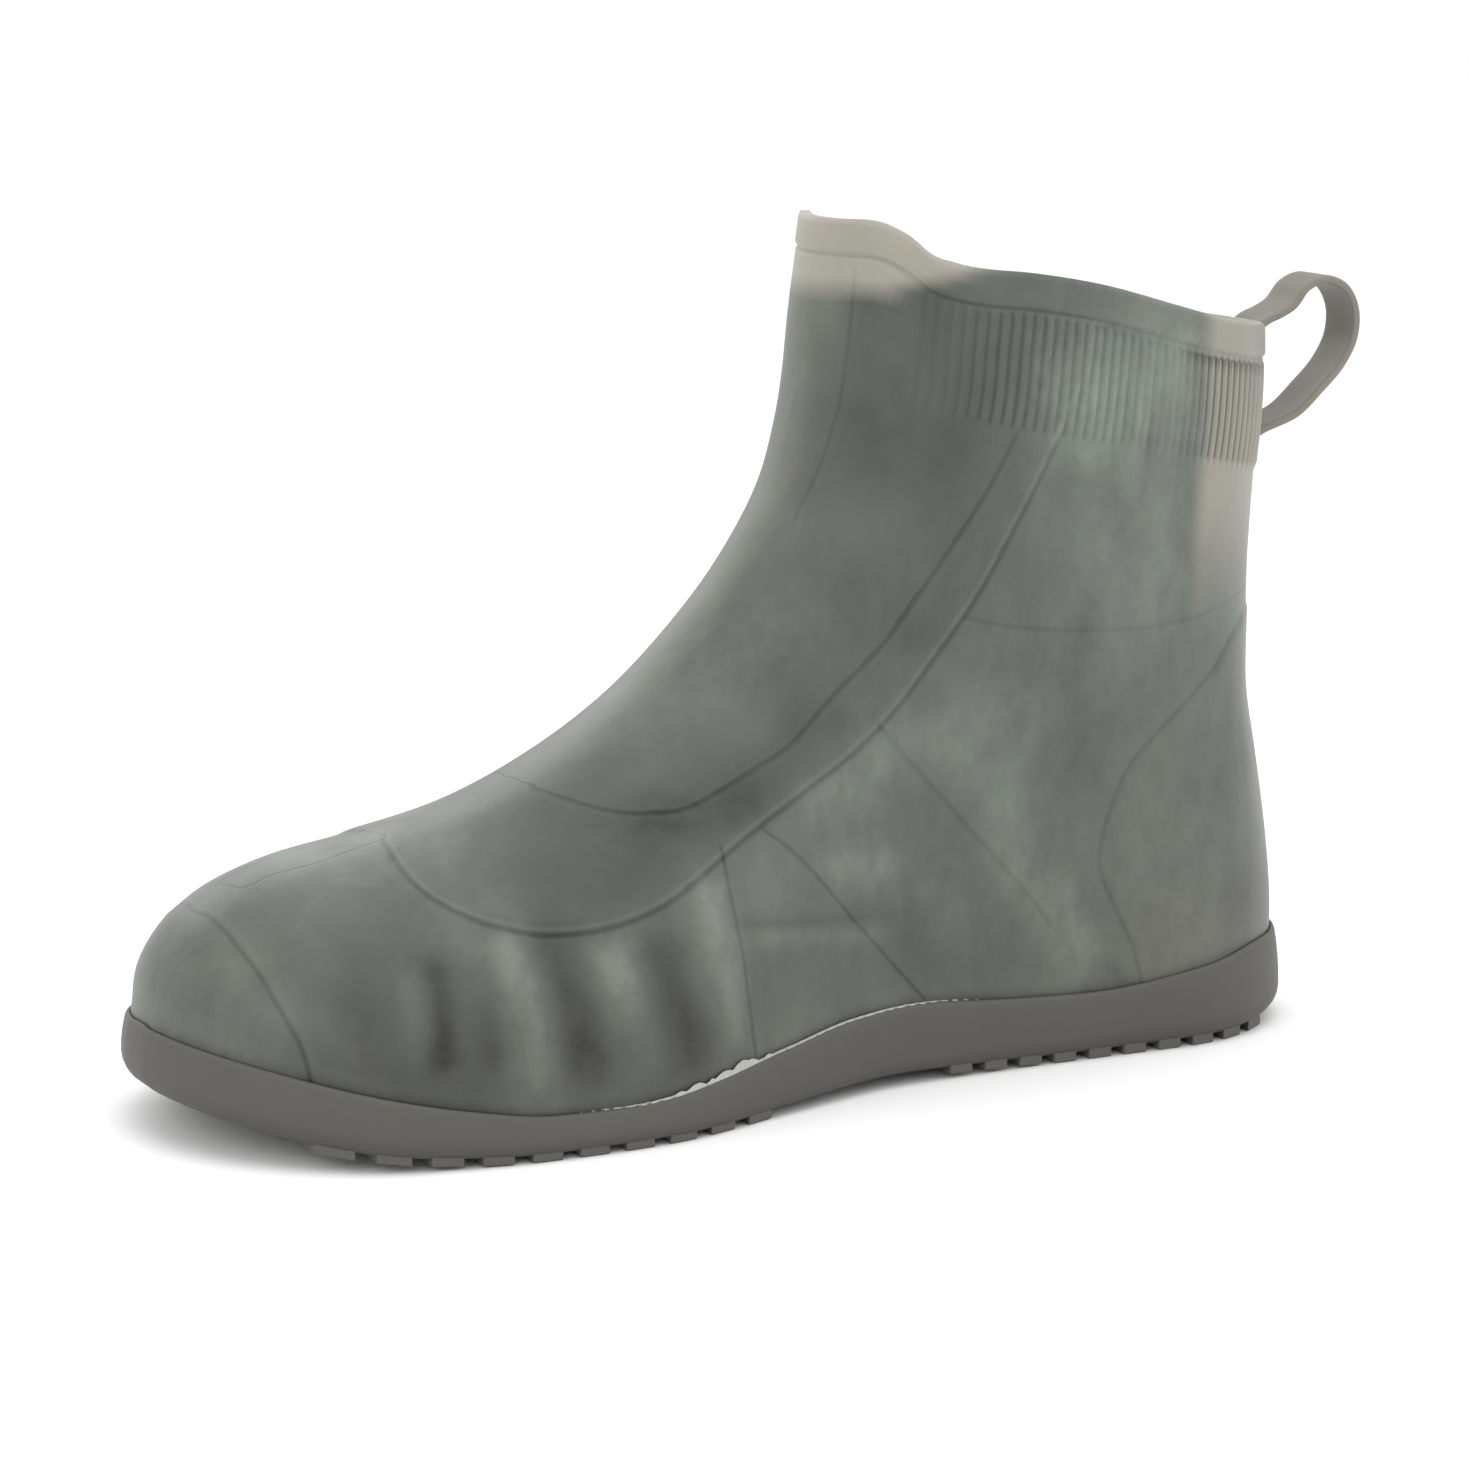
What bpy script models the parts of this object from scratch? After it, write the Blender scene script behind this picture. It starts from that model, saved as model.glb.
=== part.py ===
"""Rubber overshoe for the left foot, empty and standing on its sole.

Metres, +Z up, +X from the heel to the toe, +Y towards the outer side of the foot.
The tables measure x from the back of the heel; the origin is set at the end.
The upper is drawn as a side outline that is blown up to the widths of a foot,
and every other piece is cut from that same surface.
"""
import math

import bmesh
import bpy
import numpy as np
from mathutils import Matrix

# Sizes of the upper
WALL = 0.0020
RIM_HEIGHT = 0.0078
RIM_STEP = 0.0009
RIM_LEAD = 0.0006
RIM_ROUND = 0.0012
RIM_TOP_STEP = 0.0004
RIM_TOP_WALL = 0.0016
RIB_HEIGHT = 0.0007
RIB_PITCH = 0.0037
RIB_LEAD = 0.0012
RIB_FIRST = 0.120
RIB_LAST = 0.965
RIB_RUN = 0.150
RIB_FOOT = 0.04
OVERLAY_STEP = 0.0006
OVERLAY_ROOT = 0.0010
EMBED_GAP = 0.0003
COLUMNS_A_SIDE = 29
COLUMN_EVENNESS = 0.12
COLUMN_ROOM = 0.004
ROWS_BODY = 20
ROW_LEAN = 1.05
POINTS_A_SPAN = 16
POINTS_A_BORDER = 200

# Sizes of the sole
LIP_GAP = 0.0003
LIP_WALL = 0.0012
LIP_CREST = 0.0003
LIP_SHOULDER = 0.0006
FOXING_UP = 0.55
FOXING_OUT = 0.93
EDGE_TURNS = (28.0, 55.0, 78.0)
EDGE_FOOT = 1.15
FLOOR_INSET = 0.0120
UNDER_INSET = 0.0140
LUG_DEPTH = 0.0015
LUG_ROOT = 0.0020
LUG_SETBACK = 0.40

# Sizes of the pull loop
LOOP_WIDTH = 0.0130
LOOP_THICK = 0.0020
LOOP_GAP = 0.0003
LOOP_LEAD = 0.0010
LOOP_EDGE = 0.0005
LOOP_ROWS = 27
LOOP_COLUMNS = 5
BACK_DEPTH = 0.0060

# Front of the side outline from toe tip to tab: x, z
RIDGE = [
    (0.2965, 0.0260), (0.2950, 0.0360), (0.2895, 0.0455), (0.2800, 0.0540), (0.2640, 0.0605),
    (0.2410, 0.0650), (0.2190, 0.0703), (0.1985, 0.0797), (0.1805, 0.0915), (0.1645, 0.1062),
    (0.1508, 0.1218), (0.1400, 0.1390), (0.1355, 0.1530),
]
# Front of the collar, from the foot of the ribs to the top of the tab: x, z
TAB_FRONT = [(0.1355, 0.1530), (0.1334, 0.1640), (0.1318, 0.1780), (0.1300, 0.1900), (0.1282, 0.2015)]
# Back of the side outline from the heel up to the foot of the ribs: x, z
BACK = [
    (0.0050, 0.0180), (0.0052, 0.0320), (0.0070, 0.0480), (0.0100, 0.0660), (0.0127, 0.0820),
    (0.0128, 0.1050), (0.0125, 0.1200), (0.0117, 0.1355),
]
# Back of the collar: x, z
COLLAR_BACK = [(0.0117, 0.1355), (0.0106, 0.1480), (0.0102, 0.1600), (0.0106, 0.1720)]
# Foot of the ribbed band, from front to back: x, z
BAND_FOOT = [
    (0.1355, 0.1530), (0.1270, 0.1556), (0.1125, 0.1556), (0.0954, 0.1519), (0.0582, 0.1450),
    (0.0272, 0.1387), (0.0117, 0.1355),
]
# Top edge of the rim, from the tab to the back: x, z
RIM_TOP = [
    (0.1282, 0.2015), (0.1225, 0.2013), (0.1180, 0.1985), (0.1136, 0.1940), (0.1060, 0.1915),
    (0.0920, 0.1898), (0.0760, 0.1868), (0.0557, 0.1812), (0.0420, 0.1776), (0.0240, 0.1740),
    (0.0106, 0.1720),
]
# Line where the upper goes into the sole: x, z
FEATHER = [
    (0.000, 0.0225), (0.020, 0.0225), (0.040, 0.0195), (0.070, 0.0165), (0.095, 0.0175),
    (0.120, 0.0192), (0.140, 0.0183), (0.160, 0.0152), (0.180, 0.0120), (0.205, 0.0094),
    (0.222, 0.0097), (0.240, 0.0122), (0.260, 0.0165), (0.280, 0.0215), (0.300, 0.0265),
]
# Plan of the foot: x, half-width of the outer side, half-width of the inner side, middle line
FOOT_PLAN = [
    (0.000, 0.0350, 0.0350, 0.0000), (0.045, 0.0355, 0.0355, 0.0000),
    (0.085, 0.0350, 0.0330, 0.0000), (0.120, 0.0355, 0.0310, 0.0000),
    (0.160, 0.0445, 0.0390, 0.0000), (0.195, 0.0535, 0.0455, 0.0000),
    (0.225, 0.0545, 0.0480, -0.0010), (0.255, 0.0520, 0.0485, -0.0030),
    (0.300, 0.0450, 0.0470, -0.0060),
]
# Shaft: z, half-width on both sides
SHAFT_WIDTH = [
    (0.020, 0.0360), (0.060, 0.0375), (0.090, 0.0385), (0.120, 0.0400), (0.150, 0.0420),
    (0.205, 0.0440),
]
# How far in from the side outline the surface reaches its full width
ROUND_FOREFOOT = 0.043
ROUND_TOE = 0.050
ROUND_HEEL = 0.040
ROUND_SHAFT = 0.062
# Places between which the forefoot turns into the toe
TOE_FROM = 0.22
TOE_TO = 0.29
# Heights between which the foot's widths turn into the shaft's
FOOT_TOP = 0.060
SHAFT_LOW = 0.120

# Underside of the sole: x, z of the plain face, z of the floor inside, radius of the lower edge
SOLE_LEVEL = [
    (0.000, 0.0035, 0.0105, 0.0060), (0.015, 0.0018, 0.0100, 0.0060),
    (0.030, 0.0015, 0.0095, 0.0055), (0.075, 0.0015, 0.0092, 0.0050),
    (0.095, 0.0022, 0.0095, 0.0040), (0.125, 0.0028, 0.0098, 0.0035),
    (0.155, 0.0022, 0.0085, 0.0030), (0.175, 0.0015, 0.0068, 0.0028),
    (0.225, 0.0015, 0.0058, 0.0030), (0.245, 0.0022, 0.0066, 0.0035),
    (0.265, 0.0042, 0.0090, 0.0045), (0.285, 0.0075, 0.0130, 0.0060),
    (0.300, 0.0110, 0.0170, 0.0070),
]
# How far the side of the sole stands out from the upper: x, at its widest
SOLE_BULGE = [
    (0.000, 0.0030), (0.045, 0.0026), (0.090, 0.0020), (0.130, 0.0020), (0.170, 0.0028),
    (0.220, 0.0036), (0.260, 0.0034), (0.300, 0.0026),
]
# Lugs across the tread: name, x of the first, x of the last, how many, length along the foot
LUG_ROWS = [
    ("heel", 0.0210, 0.1080, 10, 0.0062),
    ("forefoot", 0.1681, 0.2701, 10, 0.0072),
]
LUG_SPLITS = 3
LUG_CHANNEL = 0.0030
# How far a cutting shape runs past the shoe
PAST_BACK = -0.0100
PAST_SIDE = 0.0800

# Overlays of the upper in the side view, each a closed outline: x, z
APRON = [
    (0.2440, 0.0900), (0.2440, 0.0600), (0.2394, 0.0557), (0.2336, 0.0526), (0.2281, 0.0509),
    (0.2204, 0.0496), (0.2102, 0.0496), (0.2012, 0.0512), (0.1919, 0.0544), (0.1736, 0.0642),
    (0.1509, 0.0754), (0.1399, 0.0810), (0.1317, 0.0866), (0.1227, 0.0950), (0.1114, 0.1092),
    (0.1046, 0.1190), (0.0949, 0.1363), (0.0885, 0.1500), (0.1125, 0.1545), (0.1270, 0.1545),
    (0.1500, 0.1500),
]
TOE_CAP = [
    (0.2840, 0.0700), (0.2840, 0.0511), (0.2831, 0.0490), (0.2820, 0.0455), (0.2806, 0.0422),
    (0.2796, 0.0388), (0.2779, 0.0335), (0.2758, 0.0281), (0.2747, 0.0235), (0.2850, 0.0262),
    (0.3100, 0.0330), (0.3100, 0.0700),
]
HEEL_COUNTER = [
    (PAST_BACK, 0.1040), (0.0180, 0.1035), (0.0227, 0.1015), (0.0298, 0.0970), (0.0363, 0.0914),
    (0.0443, 0.0860), (0.0533, 0.0796), (0.0625, 0.0705), (0.0677, 0.0590), (0.0700, 0.0487),
    (0.0660, 0.0380), (0.0608, 0.0281), (0.0580, 0.0195), (0.0400, 0.0225), (0.0200, 0.0255),
    (PAST_BACK, 0.0255),
]
BACK_STAY_HALF = 0.0140
BACK_STAY_LOW = 0.1070
BACK_STAY_TOP = 0.1275
BACK_STAY_DEPTH = 0.0300

# Middle line of the pull loop in the side view: x, z, share of the collar's own curve across
LOOP_PATH = [
    (0.0000, 0.1655, 1.00), (0.0000, 0.1700, 1.00), (-0.0018, 0.1750, 0.70),
    (-0.0060, 0.1795, 0.30), (-0.0115, 0.1812, 0.00), (-0.0170, 0.1790, 0.00),
    (-0.0202, 0.1735, 0.00), (-0.0200, 0.1665, 0.00), (-0.0165, 0.1600, 0.10),
    (-0.0105, 0.1540, 0.35), (-0.0040, 0.1485, 0.70), (0.0000, 0.1430, 1.00),
    (0.0000, 0.1365, 1.00), (0.0000, 0.1305, 1.00),
]
LOOP_LANDS = {"upper": (0, 1), "lower": (11, 12, 13)}

# Colours seen in the photo: red, green, blue, roughness
SMOKE = (0.150, 0.160, 0.140, 0.55)
SOLE_GREY = (0.120, 0.110, 0.095, 0.60)
PALE = (0.440, 0.400, 0.340, 0.50)


def clear_scene():
    """Remove whatever the file opened with."""
    for item in list(bpy.data.objects):
        bpy.data.objects.remove(item, do_unlink=True)


def read_table(rows, column, at):
    """Read one column of a table whose first column is the place, without overshoot."""
    rows = np.asarray(rows, float)
    x, y = rows[:, 0], rows[:, column]
    at = np.asarray(at, float)
    gap = np.diff(x)
    slope = np.diff(y) / gap
    lean = np.zeros_like(y)
    lean[0], lean[-1] = slope[0], slope[-1]
    for i in range(1, len(x) - 1):
        if slope[i - 1] * slope[i] > 0:
            before = 2 * gap[i] + gap[i - 1]
            after = gap[i] + 2 * gap[i - 1]
            lean[i] = (before + after) / (before / slope[i - 1] + after / slope[i])
    k = np.clip(np.searchsorted(x, at) - 1, 0, len(x) - 2)
    t = np.clip((at - x[k]) / gap[k], 0, 1)
    value = (1 + 2 * t) * (1 - t) ** 2 * y[k] + t * (1 - t) ** 2 * gap[k] * lean[k]
    return value + t * t * (3 - 2 * t) * y[k + 1] + t * t * (t - 1) * gap[k] * lean[k + 1]


def smooth_line(points, count):
    """A smooth curve through the points, at places evenly spaced along it."""
    p = np.asarray(points, float)
    p = np.vstack([2 * p[0] - p[1], p, 2 * p[-1] - p[-2]])
    out = []
    for i in range(1, len(p) - 2):
        a, b, c, d = p[i - 1], p[i], p[i + 1], p[i + 2]
        t1 = np.linalg.norm(b - a) ** 0.5
        t2 = t1 + np.linalg.norm(c - b) ** 0.5
        t3 = t2 + np.linalg.norm(d - c) ** 0.5
        for t in np.linspace(t1, t2, POINTS_A_SPAN, endpoint=False):
            ab = ((t1 - t) * a + t * b) / t1
            bc = ((t2 - t) * b + (t - t1) * c) / (t2 - t1)
            cd = ((t3 - t) * c + (t - t2) * d) / (t3 - t2)
            abc = ((t2 - t) * ab + t * bc) / t2
            bcd = ((t3 - t) * bc + (t - t1) * cd) / (t3 - t1)
            out.append(((t2 - t) * abc + (t - t1) * bcd) / (t2 - t1))
    out.append(p[-2])
    out = np.array(out)
    run = np.r_[0, np.cumsum(np.linalg.norm(np.diff(out, axis=0), axis=1))]
    places = np.linspace(0, run[-1], count)
    return np.stack([np.interp(places, run, out[:, k]) for k in range(out.shape[1])], 1)


def read_line(line, share):
    """The point at a share of the way along a line."""
    place = np.linspace(0, 1, len(line))
    return np.stack([np.interp(share, place, line[:, k]) for k in range(line.shape[1])], -1)


def soft_step(low, high, value):
    """Nought below low, one above high, smooth between."""
    t = np.clip((value - low) / (high - low), 0, 1)
    return t * t * (3 - 2 * t)


def distance_to(line, x, z):
    """Distance in the side view from points to a line."""
    best = np.full(np.shape(x), 1.0)
    for (x0, z0), (x1, z1) in zip(line[:-1], line[1:]):
        vx, vz = x1 - x0, z1 - z0
        t = np.clip(((x - x0) * vx + (z - z0) * vz) / (vx * vx + vz * vz), 0, 1)
        best = np.minimum(best, np.hypot(x - x0 - t * vx, z - z0 - t * vz))
    return best


FRONT_LINE = smooth_line(RIDGE[:-1] + TAB_FRONT, POINTS_A_BORDER)
BACK_LINE = smooth_line(BACK[:-1] + COLLAR_BACK, POINTS_A_BORDER)
RIDGE_LINE = smooth_line(RIDGE, POINTS_A_BORDER)
TAB_LINE = smooth_line(TAB_FRONT, POINTS_A_BORDER)
HEEL_LINE = smooth_line(BACK, POINTS_A_BORDER)
COLLAR_LINE = smooth_line(COLLAR_BACK, POINTS_A_BORDER)
BAND_LINE = smooth_line(BAND_FOOT, POINTS_A_BORDER)
RIM_LINE = smooth_line(RIM_TOP, POINTS_A_BORDER)


def half_width(x, z, side):
    """Half-width of the surface at a point of the side view; side 1 is outer, -1 inner."""
    shaft = soft_step(FOOT_TOP, SHAFT_LOW, z)
    full = read_table(FOOT_PLAN, 1 if side > 0 else 2, x) * (1 - shaft)
    full = full + read_table(SHAFT_WIDTH, 1, z) * shaft
    toe = soft_step(TOE_FROM, TOE_TO, x)
    front = (ROUND_FOREFOOT * (1 - toe) + ROUND_TOE * toe) * (1 - shaft) + ROUND_SHAFT * shaft
    back = ROUND_HEEL * (1 - shaft) + ROUND_SHAFT * shaft
    from_front = np.clip(distance_to(FRONT_LINE, x, z) / front, 0, 1)
    from_back = np.clip(distance_to(BACK_LINE, x, z) / back, 0, 1)
    return full * np.sqrt(1 - (1 - from_front) ** 2) * np.sqrt(1 - (1 - from_back) ** 2)


def middle_line(x, z):
    """The foot's own curve to the inner side, fading out up the shaft."""
    return read_table(FOOT_PLAN, 3, x) * (1 - soft_step(FOOT_TOP, SHAFT_LOW, z))


def columns(count):
    """Shares of the way from front to back, close together at both ends."""
    even = np.linspace(0, 1, count)
    return (1 - COLUMN_EVENNESS) * (1 - np.cos(np.pi * even)) / 2 + COLUMN_EVENNESS * even


def lift(x, z, side):
    """Turn points of the side view into points of the surface."""
    return np.stack([x, middle_line(x, z) + side * half_width(x, z, side), z], -1)


def round_ring(points, side_shares):
    """Both sides of the shoe as one closed ring that starts at the front."""
    outer = lift(points[:, 0], points[:, 1], 1)
    inner = lift(points[:, 0], points[:, 1], -1)
    outer[[0, -1], 1] = middle_line(points[[0, -1], 0], points[[0, -1], 1])
    ring = np.vstack([outer, inner[-2:0:-1]])
    shares = np.r_[side_shares, 2 - side_shares[-2:0:-1]]
    return ring, shares


def body_row(up, shares):
    """A row of the side view between the feather line and the foot of the ribs."""
    ends = (RIDGE_LINE[0], HEEL_LINE[0])
    low_x = ends[0][0] + (ends[1][0] - ends[0][0]) * shares
    low = np.stack([low_x, read_table(FEATHER, 1, low_x)], 1)
    low[0], low[-1] = ends
    high = read_line(BAND_LINE, shares)
    front, back = read_line(RIDGE_LINE, up), read_line(HEEL_LINE, up)
    s = shares[:, None]
    row = (1 - s) * front + s * back + (1 - up) * low + up * high
    row = row - (1 - s) * (1 - up) * low[0] - (1 - s) * up * high[0]
    return row - s * (1 - up) * low[-1] - s * up * high[-1]


def collar_row(up, shares):
    """A row of the side view between the foot of the ribs and the rim."""
    low, high = read_line(BAND_LINE, shares), read_line(RIM_LINE, shares)
    front, back = read_line(TAB_LINE, up), read_line(COLLAR_LINE, up)
    s = shares[:, None]
    row = (1 - s) * front + s * back + (1 - up) * low + up * high
    row = row - (1 - s) * (1 - up) * low[0] - (1 - s) * up * high[0]
    return row - s * (1 - up) * low[-1] - s * up * high[-1]


def below_rim(drop, shares):
    """A row of the side view that runs a set height under the rim's top edge."""
    low, high = read_line(BAND_LINE, shares), read_line(RIM_LINE, shares)
    tall = np.linalg.norm(high - low, axis=1)
    share = (1 - drop / tall)[:, None]
    return low + (high - low) * share


def ring_normals(rings):
    """Outward directions on a stack of closed rings that all have the same columns."""
    grid = np.array(rings)
    around = np.roll(grid, -1, 1) - np.roll(grid, 1, 1)
    up = np.gradient(grid, axis=0)
    normal = np.cross(around, up)
    return normal / np.linalg.norm(normal, axis=2, keepdims=True)


def surface_normals(ring_pairs):
    """Outward directions of single rings, each given with a neighbour just above it."""
    out = []
    for ring, above in ring_pairs:
        around = np.roll(ring, -1, 0) - np.roll(ring, 1, 0)
        normal = np.cross(around, above - ring)
        out.append(normal / np.linalg.norm(normal, axis=1, keepdims=True))
    return out


def bridge(verts_a, shares_a, verts_b, shares_b, bm, flip=False):
    """Join two closed rings that may have different numbers of points."""
    count_a, count_b = len(verts_a), len(verts_b)
    a = b = 0
    while a < count_a or b < count_b:
        next_a = shares_a[a + 1] if a + 1 < count_a else (2.0 if a < count_a else 9.0)
        next_b = shares_b[b + 1] if b + 1 < count_b else (2.0 if b < count_b else 9.0)
        here_a, here_b = verts_a[a % count_a], verts_b[b % count_b]
        if abs(next_a - next_b) < 1e-9 and a < count_a and b < count_b:
            corner = [here_a, verts_a[(a + 1) % count_a], verts_b[(b + 1) % count_b], here_b]
            a, b = a + 1, b + 1
        elif next_a < next_b:
            corner = [here_a, verts_a[(a + 1) % count_a], here_b]
            a = a + 1
        else:
            corner = [here_a, verts_b[(b + 1) % count_b], here_b]
            b = b + 1
        bm.faces.new(corner[::-1] if flip else corner)


def link(name, bm, colour, smooth_angle=35.0):
    """Make an object with its own material, in a collection of its own name."""
    bmesh.ops.recalc_face_normals(bm, faces=bm.faces[:])
    mesh = bpy.data.meshes.new(name)
    bm.to_mesh(mesh)
    bm.free()
    item = bpy.data.objects.new(name, mesh)
    group = bpy.data.collections.get(name) or bpy.data.collections.new(name)
    if group.name not in bpy.context.scene.collection.children:
        bpy.context.scene.collection.children.link(group)
    group.objects.link(item)
    material = bpy.data.materials.new(name + "_rubber")
    material.use_nodes = True
    shader = material.node_tree.nodes["Principled BSDF"]
    shader.inputs["Base Color"].default_value = (*colour[:3], 1.0)
    shader.inputs["Roughness"].default_value = colour[3]
    shader.inputs["Metallic"].default_value = 0.0
    mesh.materials.append(material)
    smooth(item, smooth_angle)
    return item


def smooth(item, angle):
    """Shade round parts smooth and keep edges sharper than the angle."""
    mesh = item.data
    mesh.shade_smooth()
    mesh.set_sharp_from_angle(angle=math.radians(angle))


def cutters():
    """The collection that holds shapes used only for cutting."""
    group = bpy.data.collections.get("cutters")
    if group is None:
        group = bpy.data.collections.new("cutters")
        bpy.context.scene.collection.children.link(group)
        group.hide_render = True
    return group


def as_cutter(name, bm):
    """Make a cutting shape."""
    bmesh.ops.recalc_face_normals(bm, faces=bm.faces[:])
    mesh = bpy.data.meshes.new(name)
    bm.to_mesh(mesh)
    bm.free()
    item = bpy.data.objects.new(name, mesh)
    item.display_type = "WIRE"
    item.hide_render = True
    cutters().objects.link(item)
    return item


def apply_boolean(target, tool, operation):
    """Cut or join with an exact Boolean, and tidy what it leaves."""
    modifier = target.modifiers.new(operation.lower(), "BOOLEAN")
    modifier.operation = operation
    modifier.solver = "EXACT"
    modifier.object = tool
    bpy.context.view_layer.objects.active = target
    with bpy.context.temp_override(object=target, active_object=target, selected_objects=[target]):
        bpy.ops.object.modifier_apply(modifier=modifier.name)


def rib_columns(shares):
    """Columns of the ribbed band: the plain ones in front, then three to a rib."""
    ribs = int(RIB_RUN * (RIB_LAST - RIB_FIRST) / RIB_PITCH)
    inside = np.linspace(RIB_FIRST, RIB_LAST, 3 * ribs + 1)
    plain = shares[(shares < RIB_FIRST - COLUMN_ROOM) | (shares > RIB_LAST + COLUMN_ROOM)]
    every = np.sort(np.r_[plain, inside])
    height = np.zeros(len(every))
    for k, share in enumerate(inside[1:-1], start=1):
        if k % 3:
            height[np.argmin(abs(every - share))] = RIB_HEIGHT
    return every, height


def shell_rings(outer_offset, shares, rows):
    """Rings of the body of the upper at a distance out from its surface."""
    rings = [round_ring(body_row(up, shares), shares)[0] for up in rows]
    normals = ring_normals(rings)
    return [ring + outer_offset * normal for ring, normal in zip(rings, normals)]


def drop_to_floor(ring):
    """Where the wall of the upper ends inside the sole, straight under a ring."""
    low = ring.copy()
    low[:, 2] = read_table(SOLE_LEVEL, 2, ring[:, 0]) + EMBED_GAP
    return low


def make_upper():
    """The hollow upper: body, ribbed band and rim, one wall open above and below."""
    shares = columns(COLUMNS_A_SIDE)
    around = round_ring(body_row(0.0, shares), shares)[1]
    rows = np.linspace(0, 1, ROWS_BODY) ** ROW_LEAN
    fine, rib = rib_columns(shares)
    rib_around = np.r_[rib, rib[-2:0:-1]]

    body = [round_ring(body_row(up, shares), shares)[0] for up in rows]
    drops = (RIM_HEIGHT + RIM_LEAD, RIM_HEIGHT, RIM_HEIGHT / 2, RIM_ROUND, 0.0)
    rim = [round_ring(below_rim(drop, shares), shares)[0] for drop in drops]
    normals = ring_normals(body + rim)
    body_out, rim_out = normals[:len(body)], normals[len(body):]

    fine_low, fine_around = round_ring(collar_row(RIB_FOOT, fine), fine)
    fine_low_above = round_ring(collar_row(RIB_FOOT * 1.5, fine), fine)[0]
    fine_high = round_ring(below_rim(RIM_HEIGHT + RIM_LEAD + RIB_LEAD, fine), fine)[0]
    fine_high_above = round_ring(below_rim(RIM_HEIGHT + RIM_LEAD, fine), fine)[0]
    low_out, high_out = surface_normals([(fine_low, fine_low_above), (fine_high, fine_high_above)])

    outer = [(drop_to_floor(body[0]), around)]
    outer += [(ring, around) for ring in body]
    outer.append((fine_low + rib_around[:, None] * low_out, fine_around))
    outer.append((fine_high + rib_around[:, None] * high_out, fine_around))
    for ring, out, step in zip(rim, rim_out, (0.0, RIM_STEP, RIM_STEP, RIM_STEP, RIM_TOP_STEP)):
        outer.append((ring + step * out, around))

    lining = [ring - WALL * out for ring, out in zip(body + rim[1:], list(body_out) + list(rim_out[1:]))]
    lining.insert(0, drop_to_floor(lining[0]))
    lining[-1] = rim[-1] - RIM_TOP_WALL * rim_out[-1]

    bm = bmesh.new()
    outer_verts = [([bm.verts.new(p) for p in ring], at) for ring, at in outer]
    inner_verts = [([bm.verts.new(p) for p in ring], around) for ring in lining]
    for (low, low_at), (high, high_at) in zip(outer_verts, outer_verts[1:]):
        bridge(low, low_at, high, high_at, bm)
    for (low, low_at), (high, high_at) in zip(inner_verts, inner_verts[1:]):
        bridge(low, low_at, high, high_at, bm, flip=True)
    bridge(*outer_verts[-1], *inner_verts[-1], bm)
    bridge(*inner_verts[0], *outer_verts[0], bm)
    return link("upper", bm, SMOKE)


def make_skin():
    """A thin skin that stands proud of the upper and roots in its wall, for the overlays."""
    shares = columns(COLUMNS_A_SIDE)
    around = round_ring(body_row(0.0, shares), shares)[1]
    rows = np.linspace(0, 1, ROWS_BODY) ** ROW_LEAN
    bm = bmesh.new()
    walls = []
    for offset in (OVERLAY_STEP, -OVERLAY_ROOT):
        walls.append([[bm.verts.new(p) for p in ring] for ring in shell_rings(offset, shares, rows)])
    for wall, flip in ((walls[0], False), (walls[1], True)):
        for low, high in zip(wall, wall[1:]):
            bridge(low, around, high, around, bm, flip=flip)
    bridge(walls[0][-1], around, walls[1][-1], around, bm)
    bridge(walls[1][0], around, walls[0][0], around, bm)
    return link("overlays", bm, SMOKE)


def prism(name, outline, reach):
    """A shape with a side-view outline, as wide as the shoe."""
    bm = bmesh.new()
    face = bm.faces.new([bm.verts.new((x, -reach, z)) for x, z in outline])
    made = bmesh.ops.extrude_face_region(bm, geom=[face])["geom"]
    moved = [v for v in made if isinstance(v, bmesh.types.BMVert)]
    bmesh.ops.translate(bm, verts=moved, vec=(0, 2 * reach, 0))
    return as_cutter(name, bm)


def join_overlays(upper):
    """Raise the apron, the toe cap, the heel counter and the back stay out of the wall."""
    stay = [
        (PAST_BACK, BACK_STAY_LOW), (BACK_STAY_DEPTH, BACK_STAY_LOW),
        (BACK_STAY_DEPTH, BACK_STAY_TOP), (PAST_BACK, BACK_STAY_TOP),
    ]
    shapes = [
        ("apron", APRON, PAST_SIDE), ("toe_cap", TOE_CAP, PAST_SIDE),
        ("heel_counter", HEEL_COUNTER, PAST_SIDE), ("back_stay", stay, BACK_STAY_HALF),
    ]
    for name, outline, reach in shapes:
        skin = make_skin()
        tool = prism(name + "_cutter", outline, reach)
        apply_boolean(skin, tool, "INTERSECT")
        apply_boolean(upper, skin, "UNION")
        group = skin.users_collection[0]
        bpy.data.objects.remove(skin, do_unlink=True)
        bpy.data.collections.remove(group)
    smooth(upper, 35.0)


def sole_ring(x_y, outward, distance, heights=None, column=0):
    """A ring of the sole at a distance out from the upper's own edge."""
    ring = np.zeros((len(x_y), 3))
    ring[:, :2] = x_y + outward * np.reshape(distance, (-1, 1))
    if heights is None:
        heights = read_table(SOLE_LEVEL, column, ring[:, 0])
    ring[:, 2] = heights
    return ring


def plan_edge():
    """The upper's lower edge in plan, and its outward directions."""
    shares = columns(COLUMNS_A_SIDE)
    ring = round_ring(body_row(0.0, shares), shares)[0]
    edge = ring[:, :2]
    along = np.roll(edge, -1, 0) - np.roll(edge, 1, 0)
    outward = np.stack([along[:, 1], -along[:, 0]], 1)
    outward = outward / np.linalg.norm(outward, axis=1, keepdims=True)
    if outward[0, 0] < 0:
        outward = -outward
    return edge, outward, ring[:, 2]


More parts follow.
